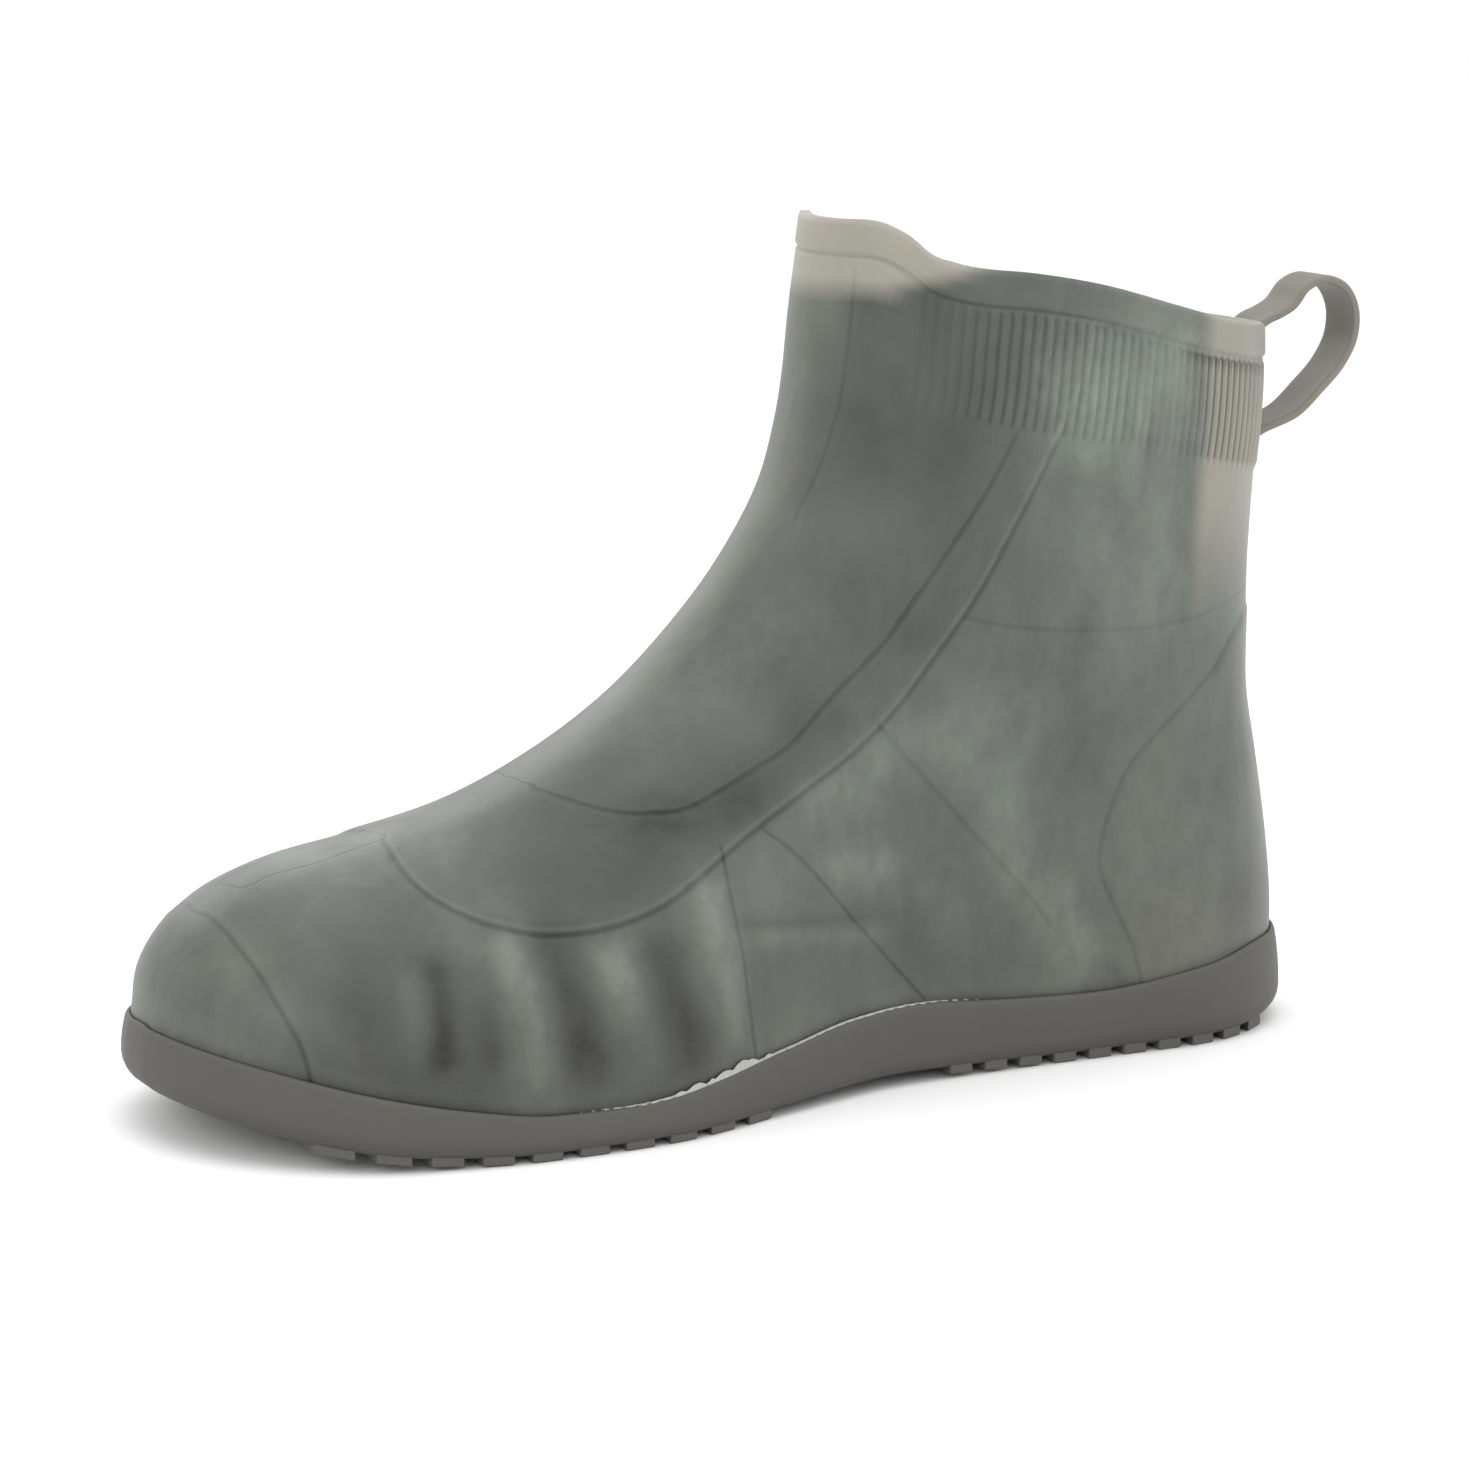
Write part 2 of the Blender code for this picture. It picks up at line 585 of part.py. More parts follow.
def ladder(bm, verts):
    """Close a ring that mirrors across its first point with a row of faces."""
    count = len(verts)
    half = count // 2
    for k in range(half):
        a, b = verts[k], verts[k + 1]
        c, d = verts[(count - k - 1) % count], verts[(count - k) % count]
        corner = [v for i, v in enumerate((a, b, c, d)) if v not in (a, b, c, d)[:i]]
        bm.faces.new(corner)


def make_sole():
    """The cup of the sole with its foxing, toe spring, arch and tread lugs."""
    edge, outward, top = plan_edge()
    x = edge[:, 0]
    under = read_table(SOLE_LEVEL, 1, x)
    floor = read_table(SOLE_LEVEL, 2, x)
    radius = read_table(SOLE_LEVEL, 3, x)
    bulge = read_table(SOLE_BULGE, 1, x)
    rings = [
        sole_ring(edge, outward, -FLOOR_INSET, column=2),
        sole_ring(edge, outward, LIP_GAP, floor),
        sole_ring(edge, outward, LIP_GAP, top),
        sole_ring(edge, outward, LIP_WALL, top + LIP_CREST),
        sole_ring(edge, outward, LIP_GAP + LIP_WALL, top - LIP_SHOULDER),
        sole_ring(edge, outward, bulge * FOXING_OUT, under + radius + (top - under - radius) * FOXING_UP),
        sole_ring(edge, outward, bulge, under + radius),
    ]
    for turn in EDGE_TURNS:
        c, s = math.cos(math.radians(turn)), math.sin(math.radians(turn))
        rings.append(sole_ring(edge, outward, bulge - radius * (1 - c), under + radius * (1 - s)))
    rings.append(sole_ring(edge, outward, bulge - radius * EDGE_FOOT, column=1))
    rings.append(sole_ring(edge, outward, -UNDER_INSET, column=1))
    bm = bmesh.new()
    loops = [[bm.verts.new(p) for p in ring] for ring in rings]
    shares = np.linspace(0, 2, len(edge), endpoint=False)
    for low, high in zip(loops, loops[1:]):
        bridge(low, shares, high, shares, bm)
    ladder(bm, loops[0])
    ladder(bm, loops[-1])
    return link("outsole", bm, SOLE_GREY)


def outline_reach(x):
    """How far the lugs reach to the outer and the inner side at a station."""
    edge, outward, _ = plan_edge()
    radius = read_table(SOLE_LEVEL, 3, edge[:, 0])
    bulge = read_table(SOLE_BULGE, 1, edge[:, 0])
    flat = edge + outward * (bulge - radius * LUG_SETBACK)[:, None]
    half = len(flat) // 2
    outer = flat[:half + 1][::-1]
    inner = np.vstack([flat[half:], flat[:1]])
    return np.interp(x, outer[:, 0], outer[:, 1]), np.interp(x, inner[:, 0], inner[:, 1])


def make_lugs():
    """All the lugs of the tread as one set of blocks, rooted in the sole."""
    bm = bmesh.new()
    for _, first, last, count, length in LUG_ROWS:
        for centre in np.linspace(first, last, count):
            ends = (centre - length / 2, centre + length / 2)
            outer, inner = zip(*(outline_reach(x) for x in ends))
            for part in range(LUG_SPLITS):
                corners = []
                for level in (LUG_ROOT, -LUG_DEPTH):
                    for x, high, low in zip(ends, outer, inner):
                        span = (high - low - LUG_CHANNEL * (LUG_SPLITS - 1)) / LUG_SPLITS
                        y0 = low + part * (span + LUG_CHANNEL)
                        z = float(read_table(SOLE_LEVEL, 1, x)) + level
                        corners.append([(x, y0, z), (x, y0 + span, z)])
                box = [bm.verts.new(p) for pair in corners for p in pair]
                for face in ((0, 1, 3, 2), (4, 6, 7, 5), (0, 4, 5, 1), (2, 3, 7, 6), (0, 2, 6, 4), (1, 5, 7, 3)):
                    bm.faces.new([box[i] for i in face])
    return as_cutter("lug_blocks", bm)


def back_curve(z, y):
    """How far forward the collar's back has curved at a distance from the middle."""
    x_back = float(np.interp(z, BACK_LINE[:, 1], BACK_LINE[:, 0]))
    xs = np.linspace(x_back, x_back + BACK_DEPTH, POINTS_A_BORDER)
    widths = half_width(xs, np.full(POINTS_A_BORDER, z), 1)
    return float(np.interp(abs(y), widths, xs)) - x_back


def make_loop():
    """The pull loop: a strap that leaves the collar's back, turns over and comes down to it."""
    path = np.array(LOOP_PATH)
    offset = LOOP_GAP + LOOP_THICK / 2
    for land, rows in LOOP_LANDS.items():
        proud = RIM_STEP if land == "upper" else 0.0
        for row in rows:
            path[row, 0] = np.interp(path[row, 1], BACK_LINE[:, 1], BACK_LINE[:, 0]) - offset - proud
    for row in range(len(path)):
        if not any(row in rows for rows in LOOP_LANDS.values()):
            path[row, 0] = path[row, 0] + LOOP_LEAD
    path[:, 2] = path[:, 2] * LOOP_WIDTH
    line = smooth_line(path, LOOP_ROWS)
    line[:, 2] = np.clip(line[:, 2] / LOOP_WIDTH, 0, 1)
    across = np.linspace(-LOOP_WIDTH / 2, LOOP_WIDTH / 2, LOOP_COLUMNS)
    bm = bmesh.new()
    grid = []
    for x, z, share in line:
        grid.append([bm.verts.new((x + share * back_curve(z, y), y, z)) for y in across])
    for low, high in zip(grid, grid[1:]):
        for k in range(len(across) - 1):
            bm.faces.new((low[k], low[k + 1], high[k + 1], high[k]))
    loop = link("pull_loop", bm, PALE, 50.0)
    thick = loop.modifiers.new("thickness", "SOLIDIFY")
    thick.thickness = LOOP_THICK
    thick.offset = 0.0
    thick.use_even_offset = True
    soft = loop.modifiers.new("edges", "BEVEL")
    soft.width = LOOP_EDGE
    soft.segments = 1
    soft.limit_method = "ANGLE"
    soft.angle_limit = math.radians(60)
    bpy.context.view_layer.objects.active = loop
    for modifier in ("thickness", "edges"):
        with bpy.context.temp_override(object=loop, active_object=loop, selected_objects=[loop]):
            bpy.ops.object.modifier_apply(modifier=modifier)
    smooth(loop, 50.0)
    return loop


def set_origin(pieces):
    """Put the origin on the floor under the middle of the whole overshoe."""
    points = np.vstack([[v.co[:] for v in piece.data.vertices] for piece in pieces])
    low, high = points.min(0), points.max(0)
    shift = (-(low[0] + high[0]) / 2, -(low[1] + high[1]) / 2, -low[2])
    for piece in pieces:
        piece.data.transform(Matrix.Translation(shift))


def main():
    """Build every piece."""
    clear_scene()
    upper = make_upper()
    join_overlays(upper)
    sole = make_sole()
    lugs = make_lugs()
    apply_boolean(sole, lugs, "UNION")
    smooth(sole, 35.0)
    set_origin([upper, sole, make_loop()])


main()
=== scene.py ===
"""Rubber overshoe for the left foot: its looks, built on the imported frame.

Tables of the side view measure x from the back of the heel and z from the floor, in metres.
"""

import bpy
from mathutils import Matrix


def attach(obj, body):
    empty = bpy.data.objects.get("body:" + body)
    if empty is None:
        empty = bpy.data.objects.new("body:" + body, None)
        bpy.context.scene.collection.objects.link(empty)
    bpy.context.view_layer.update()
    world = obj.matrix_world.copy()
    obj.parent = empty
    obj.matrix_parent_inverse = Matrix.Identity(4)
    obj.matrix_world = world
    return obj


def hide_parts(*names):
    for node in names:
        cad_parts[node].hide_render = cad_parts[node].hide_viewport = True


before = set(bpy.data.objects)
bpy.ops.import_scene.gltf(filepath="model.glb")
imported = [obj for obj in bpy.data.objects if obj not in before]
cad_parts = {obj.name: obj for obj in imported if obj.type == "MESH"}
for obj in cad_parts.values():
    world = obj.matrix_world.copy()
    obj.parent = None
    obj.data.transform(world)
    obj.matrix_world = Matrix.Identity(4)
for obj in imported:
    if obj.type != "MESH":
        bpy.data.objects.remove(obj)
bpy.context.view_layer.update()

import math

import bpy
import numpy as np
from bpy.props import FloatProperty, FloatVectorProperty, IntProperty
from mathutils import Vector

bl_info = {
    "name": "Rubber overshoe",
    "version": (1, 0, 0),
    "blender": (4, 5, 0),
    "location": "3D View > Sidebar > Overshoe",
    "description": "Moulded rubber overshoe with a ribbed collar, a cup sole and a pull loop",
    "category": "Object",
}

# Where the tables' zero lies in the frame
TABLE_ZERO = np.array([-0.13932, -0.00141, 0.0])

# Front of the side outline from toe tip to tab: x, z
RIDGE = [
    (0.2965, 0.0260), (0.2950, 0.0360), (0.2895, 0.0455), (0.2800, 0.0540), (0.2640, 0.0605),
    (0.2410, 0.0650), (0.2190, 0.0703), (0.1985, 0.0797), (0.1805, 0.0915), (0.1645, 0.1062),
    (0.1508, 0.1218), (0.1400, 0.1390), (0.1355, 0.1530),
]
# Front of the collar, from the foot of the ribs to the top of the tab: x, z
TAB_FRONT = [
    (0.1355, 0.1530), (0.1334, 0.1640), (0.1318, 0.1780), (0.1300, 0.1900), (0.1282, 0.2015),
]
# Back of the side outline from the heel up to the foot of the ribs: x, z
BACK = [
    (0.0050, 0.0225), (0.0052, 0.0320), (0.0070, 0.0480), (0.0100, 0.0660), (0.0127, 0.0820),
    (0.0128, 0.1050), (0.0125, 0.1200), (0.0117, 0.1355),
]
# Back of the collar: x, z
COLLAR_BACK = [(0.0117, 0.1355), (0.0106, 0.1480), (0.0102, 0.1600), (0.0106, 0.1720)]
# Foot of the ribbed band, from front to back: x, z
BAND_FOOT = [
    (0.1355, 0.1530), (0.1270, 0.1556), (0.1125, 0.1556), (0.0954, 0.1519), (0.0582, 0.1450),
    (0.0272, 0.1387), (0.0117, 0.1355),
]
# Top edge of the rim, from the tab to the back: x, z
RIM_TOP = [
    (0.1282, 0.2015), (0.1225, 0.2013), (0.1180, 0.1985), (0.1136, 0.1940), (0.1060, 0.1915),
    (0.0920, 0.1898), (0.0760, 0.1868), (0.0557, 0.1812), (0.0420, 0.1776), (0.0240, 0.1740),
    (0.0106, 0.1720),
]
# Line where the upper goes into the sole: x, z
FEATHER = [
    (0.000, 0.0225), (0.020, 0.0225), (0.040, 0.0195), (0.070, 0.0165), (0.095, 0.0175),
    (0.120, 0.0192), (0.140, 0.0183), (0.160, 0.0152), (0.180, 0.0120), (0.205, 0.0094),
    (0.222, 0.0097), (0.240, 0.0122), (0.260, 0.0165), (0.280, 0.0215), (0.300, 0.0265),
]
# Plan of the foot: x, half-width of the outer side, half-width of the inner side, middle line
FOOT_PLAN = [
    (0.000, 0.0350, 0.0350, 0.0000), (0.045, 0.0355, 0.0355, 0.0000),
    (0.085, 0.0350, 0.0330, 0.0000), (0.120, 0.0355, 0.0310, 0.0000),
    (0.160, 0.0445, 0.0390, 0.0000), (0.195, 0.0535, 0.0455, 0.0000),
    (0.225, 0.0545, 0.0480, -0.0010), (0.255, 0.0520, 0.0485, -0.0030),
    (0.300, 0.0450, 0.0470, -0.0060),
]
# Shaft: z, half-width on both sides
SHAFT_WIDTH = [
    (0.020, 0.0360), (0.060, 0.0375), (0.090, 0.0385), (0.120, 0.0400), (0.150, 0.0420),
    (0.205, 0.0440),
]
# How far in from the side outline the surface reaches its full width
ROUND_FOREFOOT = 0.043
ROUND_TOE = 0.050
ROUND_HEEL = 0.040
ROUND_SHAFT = 0.062
# Heights between which the foot's widths turn into the shaft's
FOOT_TOP = 0.060
SHAFT_LOW = 0.120
# Places between which the forefoot's roundness turns into the toe's
TOE_BLEND = (0.22, 0.29)

# Ribs of the collar: the shares of its length from front to back between which they lie, that
# length, and a rib's height over its columns
RIB_RUN = (0.12, 0.965)
COLLAR_LENGTH = 0.150
RIB_SHAPE = (0.0, 0.15, 0.85, 1.0, 0.85, 0.15)
# Shares over which the ribs rise from their least height, at the front, to the full one
RIB_RISE = (0.12, 0.30)
RIB_LEAST = 0.35
# Where they are lower once more: middle, half-width, how much
RIB_DIP = (0.62, 0.08, 0.45)
# Columns of the upper ahead of the ribs and behind them
PLAIN_COLUMNS = (15, 9)

# Underside of the sole: x, z of the plain face, z of the floor inside, radius of the lower edge
SOLE_LEVEL = [
    (0.000, 0.0035, 0.0105, 0.0060), (0.015, 0.0018, 0.0100, 0.0060),
    (0.030, 0.0015, 0.0095, 0.0055), (0.075, 0.0015, 0.0092, 0.0050),
    (0.095, 0.0022, 0.0095, 0.0040), (0.125, 0.0028, 0.0098, 0.0035),
    (0.155, 0.0022, 0.0085, 0.0030), (0.175, 0.0015, 0.0068, 0.0028),
    (0.225, 0.0015, 0.0058, 0.0030), (0.245, 0.0022, 0.0066, 0.0035),
    (0.265, 0.0042, 0.0090, 0.0045), (0.285, 0.0075, 0.0130, 0.0060),
    (0.300, 0.0110, 0.0170, 0.0070),
]
# How far the side of the sole stands out from the upper: x, at its widest
SOLE_BULGE = [
    (0.000, 0.0030), (0.045, 0.0026), (0.090, 0.0020), (0.130, 0.0020), (0.170, 0.0028),
    (0.220, 0.0036), (0.260, 0.0034), (0.300, 0.0026),
]
# Lugs across the tread: x of the first, x of the last, how many, length along the foot. Then
# how many share a row, the channel between them, how far they stand down and reach up into
# the sole, how far the tread stays in from the sole's edge, as a share of its radius, and the
# radius of a lug's own edges
LUG_ROWS = [(0.0210, 0.1080, 10, 0.0062), (0.1681, 0.2701, 10, 0.0072)]
LUG_SPLITS = 3
LUG_CHANNEL = 0.0030
LUG_DEPTH = 0.0015
LUG_ROOT = 0.0020
LUG_SETBACK = 0.40
LUG_ROUND = 0.0004
# The lugs' value of the side attribute, each whole one of which makes the sole a tenth paler:
# painted light that lifts the lugs out of their own shadow
LUG_PAINTED_LIGHT = 4.0

# Raised layers of the upper in the side view, each a closed outline: x, z
APRON = [
    (0.2260, 0.0900), (0.2340, 0.0735), (0.2398, 0.0668), (0.2428, 0.0625), (0.2425, 0.0588),
    (0.2394, 0.0557), (0.2336, 0.0526), (0.2281, 0.0509), (0.2204, 0.0496), (0.2102, 0.0496),
    (0.2012, 0.0512), (0.1919, 0.0544), (0.1736, 0.0642), (0.1509, 0.0754), (0.1399, 0.0810),
    (0.1317, 0.0866), (0.1227, 0.0950), (0.1114, 0.1092), (0.1046, 0.1190), (0.0949, 0.1363),
    (0.0860, 0.1545), (0.0796, 0.1676), (0.0700, 0.2100), (0.1700, 0.2100),
]
APRON_INNER = [
    (0.2190, 0.0900), (0.2165, 0.0805), (0.2126, 0.0762), (0.2063, 0.0741), (0.1946, 0.0715),
    (0.1826, 0.0721), (0.1769, 0.0738), (0.1605, 0.0809), (0.1535, 0.0845), (0.1433, 0.0930),
    (0.1287, 0.1055), (0.1150, 0.1230), (0.1028, 0.1419), (0.0965, 0.1545), (0.0902, 0.1671),
    (0.0800, 0.2100), (0.1700, 0.2100),
]
TOE_CAP = [
    (0.2840, 0.0700), (0.2840, 0.0511), (0.2831, 0.0490), (0.2820, 0.0455), (0.2806, 0.0422),
    (0.2796, 0.0388), (0.2779, 0.0335), (0.2758, 0.0281), (0.2747, 0.0235), (0.2735, 0.0100),
    (0.3100, 0.0100), (0.3100, 0.0700),
]
HEEL_COUNTER = [
    (-0.0100, 0.1040), (0.0180, 0.1035), (0.0227, 0.1015), (0.0298, 0.0970), (0.0363, 0.0914),
    (0.0443, 0.0860), (0.0533, 0.0796), (0.0625, 0.0705), (0.0677, 0.0590), (0.0700, 0.0487),
    (0.0660, 0.0380), (0.0608, 0.0281), (0.0580, 0.0195), (0.0560, 0.0050), (-0.0100, 0.0050),
]
# The layers by name: outline, its drawn points, share of the layer step that it stands out
LAYERS = {
    "apron": (APRON, slice(0, 22), 1.0), "apron_inner": (APRON_INNER, slice(0, 15), 0.0),
    "toe_cap": (TOE_CAP, slice(1, 10), 0.8), "counter": (HEEL_COUNTER, slice(1, 14), 0.7),
}
# Thin lines where one rubber sheet ends under the next: name, points of x, z
SEAM_LINES = [
    ("quarter top", [(0.1093, 0.1108), (0.0971, 0.1078), (0.0817, 0.1058), (0.0606, 0.1046),
                     (0.0447, 0.1055), (0.0274, 0.1083), (0.0140, 0.1110)]),
    ("vamp joint", [(0.1765, 0.0640), (0.1756, 0.0533), (0.1729, 0.0416), (0.1705, 0.0273),
                    (0.1685, 0.0145)]),
    ("waist strap front", [(0.1642, 0.0665), (0.1560, 0.0600), (0.1386, 0.0420), (0.1264, 0.0290),
                           (0.1184, 0.0204)]),
    ("toe strip", [(0.2838, 0.0560), (0.2768, 0.0558), (0.2683, 0.0588), (0.2585, 0.0612),
                   (0.2421, 0.0645)]),
    ("front panel", [(0.1262, 0.1900), (0.1275, 0.1792), (0.1285, 0.1706), (0.1301, 0.1594),
                     (0.1313, 0.1547), (0.1351, 0.1429), (0.1410, 0.1310)]),
    ("waist strap back", [(0.1310, 0.0868), (0.1251, 0.0800), (0.1142, 0.0686), (0.0993, 0.0525),
                          (0.0912, 0.0437), (0.0839, 0.0346)]),
    # This line is a crease, not a sheet's end: its dark line is painted shade in the crease
    ("waist crease", [(0.1735, 0.0469), (0.1519, 0.0440), (0.1273, 0.0415)]),
]
# How the thin lines look: half-width, darkness
SEAM_LOOKS = {
    "quarter_top": (0.0010, 0.15),
    "vamp_joint": (0.0009, 0.30),
    "waist_strap_front": (0.0009, 0.30),
    "toe_strip": (0.0008, 0.18),
    "front_panel": (0.0010, 0.18),
    "waist_strap_back": (0.0012, 0.20),
    # The waist crease's darkness is painted shade in the crease
    "waist_crease": (0.0014, 0.07),
    "back_stay": (0.0009, 0.20),
}
# Length over which a thin line fades at its ends
SEAM_FADE = 0.0015
# Half-width of the stay up the back, and where its front end fades
BACK_STAY_HALF = 0.0140
BACK_STAY_END = (0.045, 0.035)
# How softly a layer's edge rises, and the share of the layer step that the back stay takes
LAYER_SOFT = 0.0008
STAY_SHARE = 0.6

# Soft troughs and ridges, each along a short run: name, x, z, x, z, half-width, height
CREASES = [
    ("first fold trough", 0.2475, 0.0430, 0.2440, 0.0240, 0.0032, -0.0008),
    ("first fold ridge", 0.2530, 0.0400, 0.2510, 0.0270, 0.0036, 0.0004),
    ("second fold trough", 0.2360, 0.0350, 0.2340, 0.0230, 0.0028, -0.0006),
    ("second fold ridge", 0.2300, 0.0450, 0.2240, 0.0220, 0.0040, 0.0008),
    ("third fold trough", 0.2210, 0.0450, 0.2120, 0.0220, 0.0044, -0.0012),
    ("third fold ridge", 0.2070, 0.0430, 0.2000, 0.0220, 0.0042, 0.0008),
    ("fourth fold trough", 0.1950, 0.0430, 0.1880, 0.0230, 0.0042, -0.0010),
    ("fourth fold ridge", 0.1840, 0.0560, 0.1800, 0.0240, 0.0038, 0.0005),
    ("waist crease", 0.1735, 0.0469, 0.1273, 0.0415, 0.0016, -0.0004),
    ("ankle hollow", 0.1180, 0.0900, 0.1000, 0.0400, 0.0120, -0.0005),
    ("instep hollow", 0.1560, 0.0830, 0.1400, 0.0900, 0.0060, -0.0005),
    ("shaft soft fold", 0.1230, 0.1380, 0.1180, 0.1000, 0.0060, -0.0005),
    ("shaft soft ridge", 0.1080, 0.1400, 0.1060, 0.1050, 0.0060, 0.0004),
]
# Painted light and shade of the folds, creases and sides, with a few cloudy patches of the rubber,
# each along a short run: name, x, z, x, z, half-width, how much lighter or darker
PAINTED_SHADING_RUNS = [
    ("forefoot low field", 0.2700, 0.0240, 0.1850, 0.0200, 0.0130, -0.20),
    ("apron field", 0.2150, 0.0600, 0.1500, 0.0880, 0.0115, -0.24),
    ("shaft front field", 0.1260, 0.1150, 0.1160, 0.1500, 0.0190, -0.17),
    ("ribs front field", 0.1180, 0.1560, 0.1140, 0.1780, 0.0180, -0.20),
    ("heel low field", 0.0850, 0.0230, 0.0350, 0.0250, 0.0080, 0.02),
    ("ribs middle field", 0.0800, 0.1600, 0.0600, 0.1650, 0.0170, 0.22),
    ("waist low field", 0.1600, 0.0300, 0.1050, 0.0260, 0.0120, -0.10),
    ("strap back light", 0.1160, 0.0830, 0.0965, 0.0640, 0.0055, 0.06),
    ("first fold dark", 0.2453, 0.0422, 0.2473, 0.0252, 0.0037, -0.32),
    ("first fold light", 0.2519, 0.0399, 0.2526, 0.0281, 0.0043, 0.14),
    ("second fold dark", 0.2366, 0.0346, 0.2364, 0.0239, 0.0032, -0.18),
    ("second fold light", 0.2273, 0.0454, 0.2255, 0.0209, 0.0056, 0.26),
    ("third fold dark", 0.2200, 0.0449, 0.2143, 0.0204, 0.0064, -0.33),
    ("third fold light", 0.2068, 0.0424, 0.2008, 0.0205, 0.0060, 0.20),
    ("fourth fold dark", 0.1953, 0.0433, 0.1867, 0.0196, 0.0056, -0.28),
    ("fourth fold light", 0.1813, 0.0550, 0.1752, 0.0207, 0.0051, 0.17),
    ("vamp cloud", 0.2634, 0.0476, 0.2525, 0.0475, 0.0110, -0.22),
    ("vamp low cloud", 0.2646, 0.0364, 0.2624, 0.0327, 0.0076, -0.16),
    ("cap side light", 0.2800, 0.0519, 0.2755, 0.0356, 0.0066, 0.02),
    ("strip light", 0.2632, 0.0607, 0.2191, 0.0703, 0.0060, 0.10),
    ("vamp top light", 0.2658, 0.0545, 0.2522, 0.0573, 0.0080, 0.06),
    ("apron cloud", 0.2064, 0.0619, 0.2010, 0.0612, 0.0080, -0.09),
    ("apron fold dark", 0.1877, 0.0693, 0.1664, 0.0728, 0.0051, -0.14),
    ("apron upper light", 0.1923, 0.0789, 0.1801, 0.0809, 0.0080, 0.04),
    ("toe low shade", 0.2723, 0.0239, 0.2404, 0.0148, 0.0053, -0.06),
    ("side low light", 0.2263, 0.0180, 0.2210, 0.0160, 0.0066, 0.06),
    ("waist light upper", 0.1462, 0.0721, 0.1348, 0.0782, 0.0093, 0.17),
    ("waist light lower", 0.1468, 0.0568, 0.1302, 0.0542, 0.0053, 0.11),
    ("waist brown", 0.1259, 0.0734, 0.1065, 0.0545, 0.0066, -0.09),
    ("diagonal light", 0.0989, 0.0574, 0.0727, 0.0281, 0.0080, 0.12),
    ("counter light", 0.0544, 0.0510, 0.0523, 0.0393, 0.0146, 0.02),
    ("crease light", 0.1656, 0.0425, 0.1323, 0.0370, 0.0029, 0.10),
    ("crease dark", 0.1719, 0.0467, 0.1349, 0.0415, 0.0013, -0.12),
    ("instep light", 0.1120, 0.0934, 0.0924, 0.0841, 0.0146, 0.06),
    ("counter front shade", 0.0707, 0.0775, 0.0718, 0.0604, 0.0066, -0.05),
    ("heel low shade", 0.1231, 0.0279, 0.0799, 0.0212, 0.0080, -0.03),
    ("apron low dark", 0.1918, 0.0688, 0.1630, 0.0754, 0.0080, -0.10),
    ("vamp light", 0.1796, 0.0871, 0.1611, 0.0891, 0.0080, 0.07),
    ("shaft front light", 0.1321, 0.1641, 0.1424, 0.1331, 0.0051, 0.06),
    ("shaft dark band", 0.1267, 0.1543, 0.1361, 0.1204, 0.0068, -0.08),
    ("shaft light band", 0.1171, 0.1594, 0.1284, 0.1135, 0.0057, 0.06),
    ("panel dark", 0.1270, 0.1856, 0.1165, 0.1838, 0.0068, -0.10),
    ("panel side dark", 0.1288, 0.1754, 0.1309, 0.1599, 0.0045, -0.05),
    ("shaft side light", 0.0715, 0.1378, 0.0551, 0.1165, 0.0190, 0.08),
]

# Middle line of the pull loop in the side view: x, z, share of the collar's own curve across
LOOP_PATH = [
    (0.0000, 0.1655, 1.00), (0.0000, 0.1700, 1.00), (-0.0018, 0.1750, 0.70),
    (-0.0060, 0.1795, 0.30), (-0.0115, 0.1812, 0.00), (-0.0170, 0.1790, 0.00),
    (-0.0202, 0.1735, 0.00), (-0.0200, 0.1665, 0.00), (-0.0165, 0.1600, 0.10),
    (-0.0105, 0.1540, 0.35), (-0.0040, 0.1485, 0.70), (0.0000, 0.1430, 1.00),
    (0.0000, 0.1365, 1.00), (0.0000, 0.1305, 1.00),
]
# Its points that lie on the collar: the upper end on the rim, the lower end below the ribs
LOOP_LANDS = {"upper": (0, 1), "lower": (11, 12, 13)}
# How far forward the free points move, the strap's points along and across, its edges' radius
LOOP_FORWARD = 0.0010
LOOP_POINTS = 90
LOOP_COLUMNS = 9
LOOP_ROUND = 0.0007

# Dried cement along the outer side's joint: where it runs, the shares of that run over which
# its ends fade, and its least height
CEMENT_RUN = (0.0900, 0.2260)
CEMENT_FADE = (0.34, 0.72)
CEMENT_HEIGHT = 0.00008
# Radians per metre of the two waves whose product makes the bead ragged
CEMENT_WAVES = (5200.0, 3130.0)
# Points along the bead, and its rows as shares of its height
CEMENT_POINTS = 420
CEMENT_ROWS = (-0.4, 0.0, 0.5, 1.0)
# How far the bead stands out, how much further at its foot, and how deep it sinks where hidden
CEMENT_PROUD = 0.00050
CEMENT_FOOT = 0.00040
CEMENT_SINK = 0.0018
CEMENT_THICK = 0.0003
# Flakes of the cement: name, x, half-length, height
CEMENT_FLAKES = [
    ("flake one", 0.1912, 0.0018, 0.0006), ("flake two", 0.1868, 0.0030, 0.0011),
    ("flake three", 0.1822, 0.0014, 0.0008), ("flake four", 0.1786, 0.0034, 0.0014),
    ("flake five", 0.1732, 0.0038, 0.0020), ("flake six", 0.1704, 0.0024, 0.0013),
    ("flake seven", 0.1652, 0.0012, 0.0006),
]

# The frame and the camera that fits the shoe's angle in it, in pixels and metres
IMAGE_SIZE = (1470, 1471)
CAMERA_TURN = 27.0
CAMERA_RISE = 11.1
CAMERA_FAR = 1.10
CAMERA_FOCAL = 4660.0
CAMERA_AIM = (0.150, 0.0, 0.080)
SENSOR = 36.0
# Lamps: name, place, point they face, size across, power in watts
LAMPS = [
    ("top_light", (0.0, 0.2, 1.6), (0.0, 0.0, 0.05), 1.6, 9.0),
    ("toe_light", (1.3, 0.7, 0.7), (0.05, 0.0, 0.05), 1.0, 4.0),
    ("heel_light", (-1.2, 0.8, 0.8), (-0.1, 0.0, 0.08), 1.0, 3.0),
    ("back_light", (0.1, -1.4, 0.9), (0.0, 0.0, 0.1), 1.2, 4.0),
]
SURROUND_STRENGTH = 1.08
FLOOR_SIZE = 8.0


